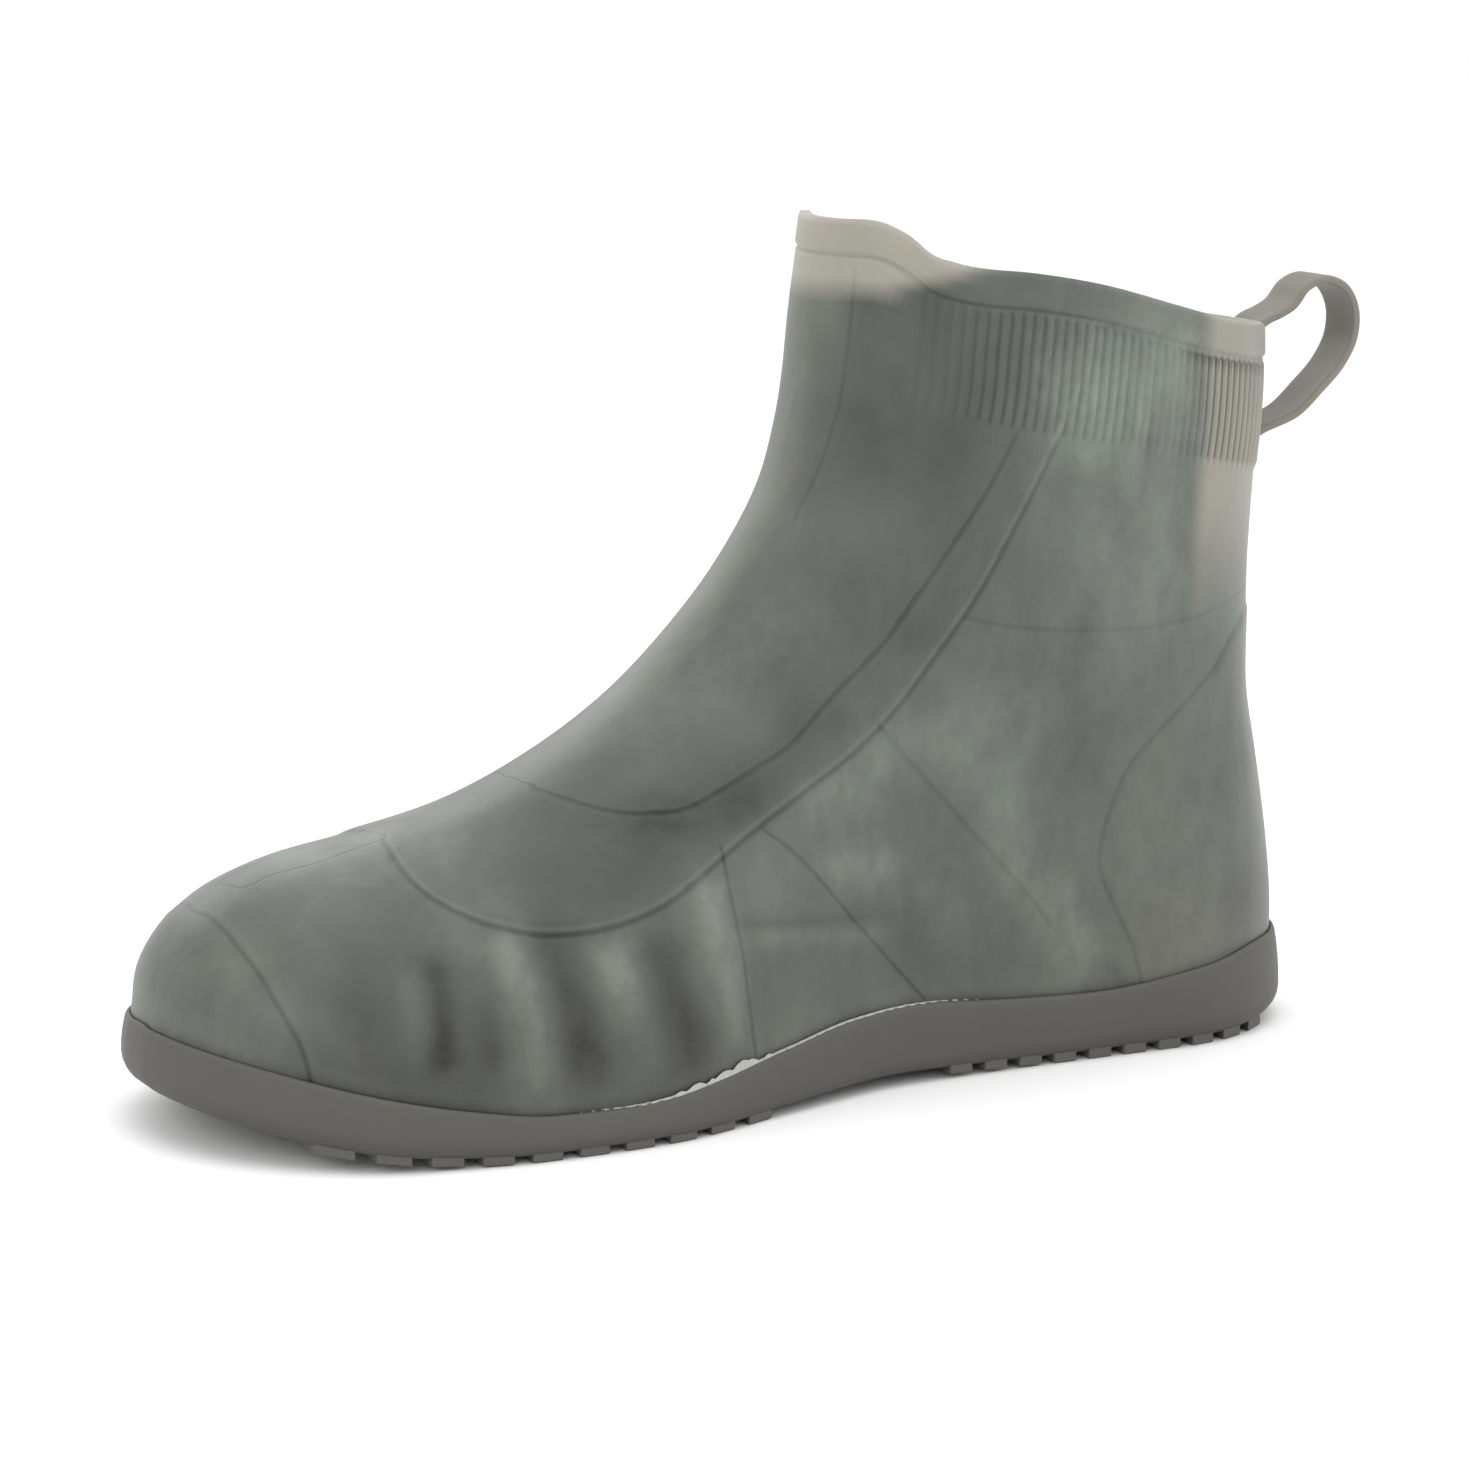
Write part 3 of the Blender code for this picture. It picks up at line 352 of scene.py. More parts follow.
def read_table(rows, column, at):
    """Read one column of a table whose first column is the place, without overshoot."""
    rows = np.asarray(rows, float)
    x, y = rows[:, 0], rows[:, column]
    at = np.asarray(at, float)
    gap = np.diff(x)
    slope = np.diff(y) / gap
    lean = np.zeros_like(y)
    lean[0], lean[-1] = slope[0], slope[-1]
    for i in range(1, len(x) - 1):
        if slope[i - 1] * slope[i] > 0:
            before = 2 * gap[i] + gap[i - 1]
            after = gap[i] + 2 * gap[i - 1]
            lean[i] = (before + after) / (before / slope[i - 1] + after / slope[i])
    k = np.clip(np.searchsorted(x, at) - 1, 0, len(x) - 2)
    t = np.clip((at - x[k]) / gap[k], 0, 1)
    value = (1 + 2 * t) * (1 - t) ** 2 * y[k] + t * (1 - t) ** 2 * gap[k] * lean[k]
    return value + t * t * (3 - 2 * t) * y[k + 1] + t * t * (t - 1) * gap[k] * lean[k + 1]


def smooth_line(points, count):
    """A smooth curve through the points, at places evenly spaced along it."""
    p = np.asarray(points, float)
    p = np.vstack([2 * p[0] - p[1], p, 2 * p[-1] - p[-2]])
    out = []
    for i in range(1, len(p) - 2):
        a, b, c, d = p[i - 1], p[i], p[i + 1], p[i + 2]
        t1 = np.linalg.norm(b - a) ** 0.5
        t2 = t1 + np.linalg.norm(c - b) ** 0.5
        t3 = t2 + np.linalg.norm(d - c) ** 0.5
        for t in np.linspace(t1, t2, 16, endpoint=False):
            ab = ((t1 - t) * a + t * b) / t1
            bc = ((t2 - t) * b + (t - t1) * c) / (t2 - t1)
            cd = ((t3 - t) * c + (t - t2) * d) / (t3 - t2)
            abc = ((t2 - t) * ab + t * bc) / t2
            bcd = ((t3 - t) * bc + (t - t1) * cd) / (t3 - t1)
            out.append(((t2 - t) * abc + (t - t1) * bcd) / (t2 - t1))
    out.append(p[-2])
    out = np.array(out)
    run = np.r_[0, np.cumsum(np.linalg.norm(np.diff(out, axis=0), axis=1))]
    places = np.linspace(0, run[-1], count)
    return np.stack([np.interp(places, run, out[:, k]) for k in range(out.shape[1])], 1)


def read_line(line, share):
    """The point at a share of the way along a line."""
    place = np.linspace(0, 1, len(line))
    return np.stack([np.interp(share, place, line[:, k]) for k in range(line.shape[1])], -1)


def soft_step(low, high, value):
    """Nought below low, one above high, smooth between."""
    t = np.clip((value - low) / (high - low), 0, 1)
    return t * t * (3 - 2 * t)


def distance_to(line, points):
    """Distance from points to a line, in as many dimensions as both have."""
    best = np.full(points.shape[:-1], 1.0)
    for a, b in zip(line[:-1], line[1:]):
        way = b - a
        t = np.clip(((points - a) @ way) / (way @ way), 0, 1)
        best = np.minimum(best, np.linalg.norm(points - a - t[..., None] * way, axis=-1))
    return best


def inside_outline(outline, x, z):
    """Whether points of the side view lie inside a closed outline."""
    inside = np.zeros(x.shape, bool)
    ends = list(outline[1:]) + [outline[0]]
    for (x0, z0), (x1, z1) in zip(outline, ends):
        if z0 == z1:
            continue
        crosses = (z0 > z) != (z1 > z)
        inside ^= crosses & (x < (x1 - x0) * (z - z0) / (z1 - z0) + x0)
    return inside


FRONT_LINE = smooth_line(RIDGE[:-1] + TAB_FRONT, 110)
BACK_LINE = smooth_line(BACK[:-1] + COLLAR_BACK, 70)
RIDGE_LINE = smooth_line(RIDGE, 300)
TAB_LINE = smooth_line(TAB_FRONT, 60)
HEEL_LINE = smooth_line(BACK, 300)
COLLAR_LINE = smooth_line(COLLAR_BACK, 60)
BAND_LINE = smooth_line(BAND_FOOT, 300)
RIM_LINE = smooth_line(RIM_TOP, 400)


def half_width(x, z, side):
    """Half-width of the surface at a point of the side view; side 1 is outer, -1 inner."""
    shaft = soft_step(FOOT_TOP, SHAFT_LOW, z)
    full = read_table(FOOT_PLAN, 1 if side > 0 else 2, x) * (1 - shaft)
    full = full + read_table(SHAFT_WIDTH, 1, z) * shaft
    toe = soft_step(*TOE_BLEND, x)
    front = (ROUND_FOREFOOT * (1 - toe) + ROUND_TOE * toe) * (1 - shaft) + ROUND_SHAFT * shaft
    back = ROUND_HEEL * (1 - shaft) + ROUND_SHAFT * shaft
    at = np.stack([x, z], -1)
    from_front = np.clip(distance_to(FRONT_LINE, at) / front, 0, 1)
    from_back = np.clip(distance_to(BACK_LINE, at) / back, 0, 1)
    return full * np.sqrt(1 - (1 - from_front) ** 2) * np.sqrt(1 - (1 - from_back) ** 2)


def middle_line(x, z):
    """The foot's own curve to the inner side, fading out up the shaft."""
    return read_table(FOOT_PLAN, 3, x) * (1 - soft_step(FOOT_TOP, SHAFT_LOW, z))


def lift(x, z, side):
    """Turn points of the side view into points of the surface."""
    return np.stack([x, middle_line(x, z) + side * half_width(x, z, side), z], -1)


def round_ring(points):
    """Both sides of the shoe as one closed ring that starts at the front."""
    outer = lift(points[:, 0], points[:, 1], 1)
    inner = lift(points[:, 0], points[:, 1], -1)
    outer[[0, -1], 1] = middle_line(points[[0, -1], 0], points[[0, -1], 1])
    return np.vstack([outer, inner[-2:0:-1]])


def blend_row(up, shares, low, high, front, back):
    """A row of the side view inside four border lines."""
    s = shares[:, None]
    row = (1 - s) * front + s * back + (1 - up) * low + up * high
    row = row - (1 - s) * (1 - up) * low[0] - (1 - s) * up * high[0]
    return row - s * (1 - up) * low[-1] - s * up * high[-1]


def body_row(up, shares):
    """A row between the feather line and the foot of the ribs."""
    ends = (RIDGE_LINE[0], HEEL_LINE[0])
    low_x = ends[0][0] + (ends[1][0] - ends[0][0]) * shares
    low = np.stack([low_x, read_table(FEATHER, 1, low_x)], 1)
    low[0], low[-1] = ends
    high = read_line(BAND_LINE, shares)
    return blend_row(up, shares, low, high, read_line(RIDGE_LINE, up), read_line(HEEL_LINE, up))


def collar_row(up, shares):
    """A row between the foot of the ribs and the rim."""
    low, high = read_line(BAND_LINE, shares), read_line(RIM_LINE, shares)
    return blend_row(up, shares, low, high, read_line(TAB_LINE, up), read_line(COLLAR_LINE, up))


def below_rim(drop, shares):
    """A row that runs a set height under the rim's top edge."""
    low, high = read_line(BAND_LINE, shares), read_line(RIM_LINE, shares)
    tall = np.linalg.norm(high - low, axis=1)
    return low + (high - low) * (1 - drop / tall)[:, None]


def ring_normals(rings):
    """Outward directions on a stack of closed rings that all have the same columns."""
    grid = np.array(rings)
    around = np.roll(grid, -1, 1) - np.roll(grid, 1, 1)
    up = np.gradient(grid, axis=0)
    normal = np.cross(around, up)
    return normal / np.maximum(np.linalg.norm(normal, axis=2, keepdims=True), 1e-9)


def surface_distance(points, line):
    """Distance on both sides of the shoe from points to a line drawn in the side view."""
    path = smooth_line(line, max(12, 4 * len(line)))
    sides = [distance_to(lift(path[:, 0], path[:, 1], side), points) for side in (1, -1)]
    return np.minimum(*sides)


def signed_distance(points, outline, closed_part):
    """Distance to the drawn part of an outline, above nought inside it."""
    away = surface_distance(points, closed_part)
    inside = inside_outline(outline, points[..., 0], points[..., 2])
    return np.where(inside, away, -away)


def seam_field(points, line):
    """Distance to an open line, with a sign for its two sides, and a gate at its ends."""
    path = smooth_line(line, max(12, 4 * len(line)))
    outer_side = points[..., 1] >= middle_line(points[..., 0], points[..., 2])
    signed = np.full(points.shape[:-1], 1.0)
    gate = np.zeros(points.shape[:-1])
    for side in (1, -1):
        run = lift(path[:, 0], path[:, 1], side)
        run = np.vstack([run[0] + 8 * (run[0] - run[1]), run, run[-1] + 8 * (run[-1] - run[-2])])
        length = np.r_[0, np.cumsum(np.linalg.norm(np.diff(run, axis=0), axis=1))]
        best = np.full(points.shape[:-1], 9.0)
        sign = np.ones(points.shape[:-1])
        place = np.zeros(points.shape[:-1])
        for k in range(len(run) - 1):
            way = run[k + 1] - run[k]
            t = np.clip(((points - run[k]) @ way) / (way @ way), 0, 1)
            away = np.linalg.norm(points - run[k] - t[..., None] * way, axis=-1)
            turn = way[0] * (points[..., 2] - run[k][2]) - way[2] * (points[..., 0] - run[k][0])
            nearer = away < best
            best = np.where(nearer, away, best)
            sign = np.where(nearer, np.where(turn >= 0, 1.0, -1.0), sign)
            place = np.where(nearer, length[k] + t * np.linalg.norm(way), place)
        here = outer_side if side > 0 else ~outer_side
        open_gate = soft_step(length[1] - SEAM_FADE, length[1], place)
        open_gate = open_gate * soft_step(length[-2] + SEAM_FADE, length[-2], place)
        signed = np.where(here, best * sign, signed)
        gate = np.where(here, open_gate, gate)
    return signed, gate


class Tree:
    """The nodes of one material."""

    def __init__(self, name, **constants):
        self.material = bpy.data.materials.new(name)
        self.material.use_nodes = True
        self.nodes = self.material.node_tree.nodes
        self.links = self.material.node_tree.links
        self.shader = self.nodes["Principled BSDF"]
        for socket, value in constants.items():
            self.shader.inputs[socket.replace("_", " ")].default_value = value

    def node(self, kind, settings=None, **sockets):
        """Add a node: its settings first, then its sockets' values or links."""
        made = self.nodes.new(kind)
        for key, value in (settings or {}).items():
            setattr(made, key, value)
        for key, value in sockets.items():
            index = int(key[1:]) if key[0] == "i" and key[1:].isdigit() else key.replace("_", " ")
            self.feed(made.inputs[index], value)
        return made

    def feed(self, socket, value):
        """Give a socket a value or a link."""
        if isinstance(value, Value):
            self.links.new(value.socket, socket)
        else:
            socket.default_value = value

    def attribute(self, name):
        """A number that the mesh carries at each point."""
        found = self.node("ShaderNodeAttribute", {"attribute_name": name})
        return Value(self, found.outputs["Fac"])

    def seam(self, name, width):
        """How much of a seam's line lies at each point."""
        found = self.node("ShaderNodeAttribute", {"attribute_name": name})
        parts = self.node("ShaderNodeSeparateXYZ", None, i0=Value(self, found.outputs["Vector"]))
        return Value(self, parts.outputs[0]).bell(width) * Value(self, parts.outputs[1])

    def place(self):
        """The point's place on the object."""
        return Value(self, self.node("ShaderNodeTexCoord").outputs["Object"])

    def noise(self, scale, detail=2.0, rough=0.5, stretch=(1, 1, 1)):
        """Noise about nought, between about minus one and one."""
        mapped = self.node("ShaderNodeMapping", None, Vector=self.place(), Scale=stretch)
        made = self.node(
            "ShaderNodeTexNoise", None, Vector=Value(self, mapped.outputs["Vector"]),
            Scale=scale, Detail=detail, Roughness=rough,
        )
        return (Value(self, made.outputs["Fac"]) - 0.5) * 2.0

    def mix(self, share, first, second):
        """One colour turning into another."""
        made = self.node(
            "ShaderNodeMix", {"data_type": "RGBA"}, Factor=share, i6=first, i7=second,
        )
        return Value(self, made.outputs[2])

    def scaled(self, colour, factor):
        """A colour made lighter or darker."""
        colour = colour if isinstance(colour, Value) else colour[:3]
        made = self.node(
            "ShaderNodeVectorMath", {"operation": "SCALE"}, i0=colour, Scale=factor,
        )
        return Value(self, made.outputs[0])

    def finish(self, colour, rough, normal=None):
        """Feed the shader and hand over the material."""
        self.feed(self.shader.inputs["Base Color"], colour)
        self.feed(self.shader.inputs["Roughness"], rough)
        if normal is not None:
            self.feed(self.shader.inputs["Normal"], normal)
        return self.material

    def bump(self, height, depth):
        """Turn a height, in parts of a depth in metres, into a lean of the surface."""
        made = self.node("ShaderNodeBump", None, Strength=1.0, Distance=depth, Height=height)
        return Value(self, made.outputs[0])


class Value:
    """A node's output that takes part in sums."""

    def __init__(self, tree, socket):
        self.tree = tree
        self.socket = socket

    def _math(self, operation, first, second=None):
        sockets = {"i0": first} if second is None else {"i0": first, "i1": second}
        made = self.tree.node("ShaderNodeMath", {"operation": operation}, **sockets)
        return Value(self.tree, made.outputs[0])

    def __add__(self, other):
        return self._math("ADD", self, other)

    __radd__ = __add__

    def __mul__(self, other):
        return self._math("MULTIPLY", self, other)

    __rmul__ = __mul__

    def __sub__(self, other):
        return self._math("SUBTRACT", self, other)

    def __rsub__(self, other):
        return self._math("SUBTRACT", other, self)

    def __abs__(self):
        return self._math("ABSOLUTE", self)

    def clamp(self, low=0.0, high=1.0):
        """Keep the value between two numbers."""
        return self._math("MINIMUM", self._math("MAXIMUM", self, low), high)

    def ramp(self, low, high):
        """Nought at low, one at high, smooth between."""
        made = self.tree.node(
            "ShaderNodeMapRange", {"interpolation_type": "SMOOTHSTEP"},
            Value=self, From_Min=low, From_Max=high, To_Min=0.0, To_Max=1.0,
        )
        return Value(self.tree, made.outputs[0])

    def bell(self, width):
        """One at nought, falling away over a width on both sides."""
        return 1 - abs(self).ramp(0.0, width)


def length(name, description, default, **limits):
    """A property that holds a length in metres."""
    return FloatProperty(
        name=name, description=description, default=default, subtype="DISTANCE", unit="LENGTH",
        **limits)


def hue(name, description, default):
    """A property that holds a colour."""
    return FloatVectorProperty(
        name=name, description=description, default=default, subtype="COLOR", size=3, min=0, max=1)


class OvershoeSizes(bpy.types.PropertyGroup):
    """Sizes that a user would change."""

    wall: length("Wall", "Thickness of the upper's rubber", 0.0020, min=0.0012, max=0.0030)
    rim_height: length("Rim height", "Height of the smooth raised rim", 0.0078)
    rim_step: length("Rim step", "How far the rim stands out", 0.0009)
    rib_pitch: length("Rib pitch", "Distance from one collar rib to the next", 0.0030)
    rib_height: length("Rib height", "How far the collar ribs stand out", 0.0006)
    layer_step: length("Layer step", "How far a cured layer stands out", 0.0005)
    body_rows: IntProperty(
        name="Body rows", description="Rows of faces up the upper", default=84, min=20, max=120)
    loop_width: length("Loop width", "Width of the pull loop's strap", 0.0130)
    loop_thick: length("Loop thickness", "Thickness of the pull loop's strap", 0.0020)


class OvershoeColours(bpy.types.PropertyGroup):
    """Colours that a user would change."""

    smoke: hue("Smoke", "Rubber where it lies dark", (0.094, 0.108, 0.092))
    brown: hue("Brown", "Warmer rubber low on the sides", (0.100, 0.099, 0.086))
    pale: hue("Pale", "Rubber with light behind it", (0.285, 0.270, 0.228))
    sole: hue("Sole", "Grey-brown of the sole", (0.070, 0.068, 0.060))
    cement: hue("Cement", "Dried cement along the joint", (0.400, 0.405, 0.370))


# Colours that are not settings: the sole's rubbed edges and the floor
WORN_COLOUR = (0.120, 0.118, 0.104, 1.0)
FLOOR_COLOUR = (0.93, 0.93, 0.93, 1.0)
# How light the upper is made as a whole
SMOKE_LEVEL = 0.99


def plain(colour):
    """A colour with its fourth number."""
    return (*colour[:3], 1.0)


def make_smoke_rubber():
    """Smoky rubber of the upper, browner low down, with painted light and shade: paler where light
    is painted coming through, darker under its steps, in its grooves and creases and along the
    sole, and with painted highlights on its edges.
    """
    colours = bpy.context.scene.overshoe_colours
    tree = Tree(
        "smoke_rubber", IOR=1.45, Specular_IOR_Level=0.32, Subsurface_Weight=0.10,
        Subsurface_Scale=0.003, Coat_Weight=0.08, Coat_Roughness=0.34,
    )
    painted_shading, pale, height = (tree.attribute(name) for name in ("painted_shading", "pale", "height"))
    apron, inner = tree.attribute("apron"), tree.attribute("apron_inner")
    cap, counter = tree.attribute("toe_cap"), tree.attribute("counter")
    groove, drop = tree.attribute("groove"), tree.attribute("rim_drop")

    clouds = tree.noise(26.0, 3.0, 0.6)
    wisps = tree.noise(70.0, 5.0, 0.68, stretch=(1.0, 1.0, 0.45))
    mottle = tree.noise(190.0, 4.0, 0.65)
    grain = tree.noise(1100.0, 2.0, 0.6)
    specks = tree.noise(520.0, 3.0, 0.7).ramp(0.42, 0.60)

    lines = 0.0
    for name, (width, dark) in SEAM_LOOKS.items():
        lines = lines + tree.seam(name, width) * dark
    below_band = 1 - height.ramp(0.1490, 0.1560)
    # Painted shade: dark lines below the layers' edges and the rim's step, and along the upper's
    # joint with the sole
    edges = (apron + 0.0007).bell(0.0012) * 0.36 + (inner + 0.0003).bell(0.0010) * 0.24
    edges = edges * below_band
    edges = edges + (cap + 0.0006).bell(0.0011) * 0.32 + (counter + 0.0006).bell(0.0011) * 0.22
    edges = edges + (drop - 0.0084).bell(0.0008) * 0.20
    edges = edges + (1 - tree.attribute("foot").ramp(0.0002, 0.0034)) * 0.22
    # Painted highlights on the layers' raised edges and beside the front panel's line
    painted_edge_highlight = (apron - 0.0006).bell(0.0010) * 0.20 + (cap + 0.0022).bell(0.0016) * 0.06
    painted_edge_highlight = painted_edge_highlight + (inner + 0.0016).bell(0.0010) * 0.05 + tree.seam("front_panel", 0.0026) * 0.03
    rim = 1 - (drop - 0.0078).ramp(0.0, 0.0006)
    # Painted highlight along the rim's top edge
    painted_rim_highlight = 1 - drop.ramp(0.0004, 0.0016)
    band = apron.ramp(-0.0003, 0.0005) * (1 - inner.ramp(-0.0004, 0.0004))

    brown = 1 - (height + clouds * 0.014 + wisps * 0.006).ramp(0.020, 0.066)
    brown = brown * 0.6 + counter.ramp(-0.0004, 0.0008) * 0.25
    brown = (brown - band * 0.6 + (0 - painted_shading).ramp(0.24, 0.46) * 0.34 + clouds * 0.10).clamp()
    colour = tree.mix(brown, plain(colours.smoke), plain(colours.brown))
    # Painted light and shade from the table of runs
    lighter, darker = painted_shading.clamp(0.0, 1.0), painted_shading.clamp(-1.0, 0.0)
    light = 1 + lighter * (3.1 + mottle * 1.4 + wisps * 3.4)
    light = light + darker * (1.35 + mottle * 0.9 + wisps * 1.3)
    light = light + clouds * 0.34 + wisps * 0.42 + mottle * 0.17
    light = light + grain * 0.03 - specks * 0.05 - band * 0.06 + painted_edge_highlight
    light = light + rim * 0.06 + painted_rim_highlight * 0.16
    # Painted shade in the grooves between the ribs
    painted_groove_shade = groove.ramp(0.35, 1.0)
    light = (light - edges - lines - painted_groove_shade * 0.28) * SMOKE_LEVEL
    colour = tree.scaled(colour, light)
    lit = 1 + clouds * 0.06 + mottle * 0.03 - painted_groove_shade * 0.62
    lit = lit - edges * 0.6 - lines * 0.6 + painted_rim_highlight * 0.12
    clear = tree.scaled(plain(colours.pale), lit)
    colour = tree.mix((pale + pale * wisps * 0.12).clamp(), colour, clear)
    rough = 0.43 + clouds * 0.05 + mottle * 0.05 + specks * 0.06
    relief = grain * 0.10 + mottle * 0.28 + wisps * 0.5
    relief = relief - lines * 4.0 - (inner + 0.0001).bell(0.0007) * 0.9
    return tree.finish(colour, rough.clamp(0.28, 0.7), tree.bump(relief, 0.00014))


def make_sole_rubber():
    """Grey-brown matt rubber of the sole, rubbed paler along its edges, with its side paler and
    its lugs painted paler still as painted light against their own shadow.
    """
    colours = bpy.context.scene.overshoe_colours
    tree = Tree(
        "sole_rubber", IOR=1.45, Specular_IOR_Level=0.36, Subsurface_Weight=0.06,
        Subsurface_Scale=0.003,
    )
    side, edge = tree.attribute("side"), tree.attribute("edge")
    clouds = tree.noise(30.0, 3.0, 0.55)
    mottle = tree.noise(160.0, 3.0, 0.6)
    grain = tree.noise(1400.0, 2.0, 0.6)
    dust = tree.noise(420.0, 4.0, 0.7)
    # The side attribute makes the sole's side paler, and the lugs much paler as painted light
    # against their own shadow
    light = 1 + clouds * 0.08 + mottle * 0.04 + grain * 0.02 + side * 0.10
    colour = tree.scaled(plain(colours.sole), light)
    worn = (edge.ramp(0.2, 0.9) * (dust * 0.5 + 0.45).clamp() * 0.35).clamp()
    colour = tree.mix(worn, colour, WORN_COLOUR)
    rough = (0.55 + mottle * 0.06 + dust * 0.05).clamp(0.3, 0.8)
    relief = grain * 0.12 + mottle * 0.3 + clouds * 0.4
    return tree.finish(colour, rough, tree.bump(relief, 0.00015))


def make_loop_rubber():
    """Pale beige rubber of the pull loop, with painted light along its edges."""
    colours = bpy.context.scene.overshoe_colours
    tree = Tree(
        "loop_rubber", IOR=1.45, Specular_IOR_Level=0.4, Subsurface_Weight=0.25,
        Subsurface_Scale=0.004,
    )
    edge = tree.attribute("edge")
    clouds = tree.noise(60.0, 3.0, 0.5)
    grain = tree.noise(1100.0, 2.0, 0.6)
    # Painted light along the strap's edges
    light = 0.52 + clouds * 0.12 + grain * 0.02 + edge * 0.14
    colour = tree.scaled(plain(colours.pale), light)
    rough = (0.45 + clouds * 0.05).clamp(0.3, 0.7)
    return tree.finish(colour, rough, tree.bump(grain * 0.12 + clouds * 0.3, 0.00015))


def make_cement_rubber():
    """Whitish dried cement."""
    colours = bpy.context.scene.overshoe_colours
    tree = Tree("dried_cement", IOR=1.45, Specular_IOR_Level=0.3)
    crumbs = tree.noise(1500.0, 3.0, 0.6)
    colour = tree.scaled(plain(colours.cement), 1 + crumbs * 0.18)
    return tree.finish(colour, (0.7 + crumbs * 0.1).clamp(), tree.bump(crumbs, 0.0002))


def make_floor_paint():
    """Plain pale floor with the faintest unevenness."""
    tree = Tree("pale_floor", Specular_IOR_Level=0.1)
    haze = tree.noise(6.0, 2.0, 0.5)
    return tree.finish(tree.scaled(FLOOR_COLOUR, 1 + haze * 0.006), (0.9 + haze * 0.03).clamp())


def clear_selection():
    """Deselect everything."""
    if bpy.context.object and bpy.context.object.mode != "OBJECT":
        bpy.ops.object.mode_set(mode="OBJECT")
    bpy.ops.object.select_all(action="DESELECT")


def lay_grid(name, points, material):
    """A piece whose grid of faces takes its points from rows of a table, moved to the frame."""
    points = np.array(points) + TABLE_ZERO
    rows, count = points.shape[:2]
    clear_selection()
    bpy.ops.mesh.primitive_grid_add(x_subdivisions=count - 1, y_subdivisions=rows - 1, size=1.0)
    piece = bpy.context.object
    piece.name = name
    piece.data.name = name
    piece.data.vertices.foreach_set("co", points.reshape(-1))
    piece.data.materials.append(material)
    return piece


def grid_piece(name, rings, material, close_rows=False):
    """A piece from a stack of closed rings, with doubled points where it is to be sewn up."""
    rings = np.array(rings)
    if close_rows:
        rings = np.concatenate([rings, rings[:1]])
    return lay_grid(name, np.concatenate([rings, rings[:, :1]], 1), material)


def carry(piece, name, values):
    """Store a number at each point of a grid piece, for its material."""
    values = np.concatenate([values, values[:, :1]], 1)
    made = piece.data.attributes.new(name, "FLOAT", "POINT")
    made.data.foreach_set("value", values.reshape(-1).astype(np.float32))


def carry_pair(piece, name, values):
    """Store two numbers at each point of a grid piece, as a vector."""
    values = np.concatenate([values, values[:, :1]], 1)
    vectors = np.concatenate([values, np.zeros(values.shape[:2] + (1,))], -1)
    made = piece.data.attributes.new(name, "FLOAT_VECTOR", "POINT")
    made.data.foreach_set("vector", vectors.reshape(-1).astype(np.float32))


def sew(piece, distance=1e-6):
    """Merge the grid's doubled points and turn its faces outwards."""
    clear_selection()
    piece.select_set(True)
    bpy.context.view_layer.objects.active = piece
    bpy.ops.object.mode_set(mode="EDIT")
    bpy.ops.mesh.select_all(action="SELECT")
    bpy.ops.mesh.remove_doubles(threshold=distance)
    bpy.ops.mesh.normals_make_consistent(inside=False)
    bpy.ops.object.mode_set(mode="OBJECT")
    bpy.ops.object.shade_smooth()


def settle(piece):
    """Make a piece ride on the body."""
    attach(piece, "root")


def upper_shares(pitch):
    """Columns of the upper, the ribs' height over them and the depth of the grooves between."""
    first, last = RIB_RUN
    ribs = int(COLLAR_LENGTH * (last - first) / pitch)
    rib_columns = len(RIB_SHAPE) * ribs
    ahead = first * (1 - np.cos(np.pi / 2 * np.linspace(0, 1, PLAIN_COLUMNS[0])))
    among = np.linspace(first, last, rib_columns + 1)
    behind = last + (1 - last) * np.sin(np.pi / 2 * np.linspace(0, 1, PLAIN_COLUMNS[1]))
    shares = np.r_[ahead[:-1], among, behind[1:]]
    here = slice(len(ahead) - 1, len(ahead) - 1 + rib_columns)
    wave, ribbed = np.zeros(len(shares)), np.zeros(len(shares))
    wave[here] = np.tile(RIB_SHAPE, ribs)
    ribbed[here] = 1.0
    fade = soft_step(*RIB_RISE, shares) * (1 - RIB_LEAST) + RIB_LEAST
    middle, half, amount = RIB_DIP
    fade = fade * (1 - amount * np.exp(-((shares - middle) / half) ** 2))
    return shares, wave * fade, ribbed * fade * (1 - wave) ** 2


def painted(points, table):
    """Sum of soft runs at points of the side view, the same on both sides of the shoe."""
    at = np.stack([points[..., 0], points[..., 2]], -1)
    total = np.zeros(at.shape[:-1])
    for _, x0, z0, x1, z1, width, amount in table:
        away = distance_to(np.array([[x0, z0], [x1, z1]]), at)
        total += amount * np.exp(-(away / width) ** 2)
    return total


# Rows of the collar above the ribs' foot, as shares of its height
COLLAR_ROWS = np.r_[0.035, 0.07, np.linspace(0.12, 0.72, 6)]
# Rows about the rim's foot, measured from it, and rows of the rim, measured from its top
RIM_FOOT_ROWS = [0.0022, 0.0012, 0.0004, -0.0003, -0.0010]
RIM_ROWS = [0.0045, 0.0020, 0.0009, 0.0003, 0.0]
# How far the last rows stand out, in rim steps
RIM_PROFILE = [0.15, 0.85, 1.0, 1.0, 1.0, 0.92, 0.60, 0.0]
# Rows across the rim's top, as shares of the wall
ROLL_SHARES = (0.45, 0.80)
# Painted shade inside the shoe: how much darker the lining is made than the outside
LINING_SHADE = -0.10


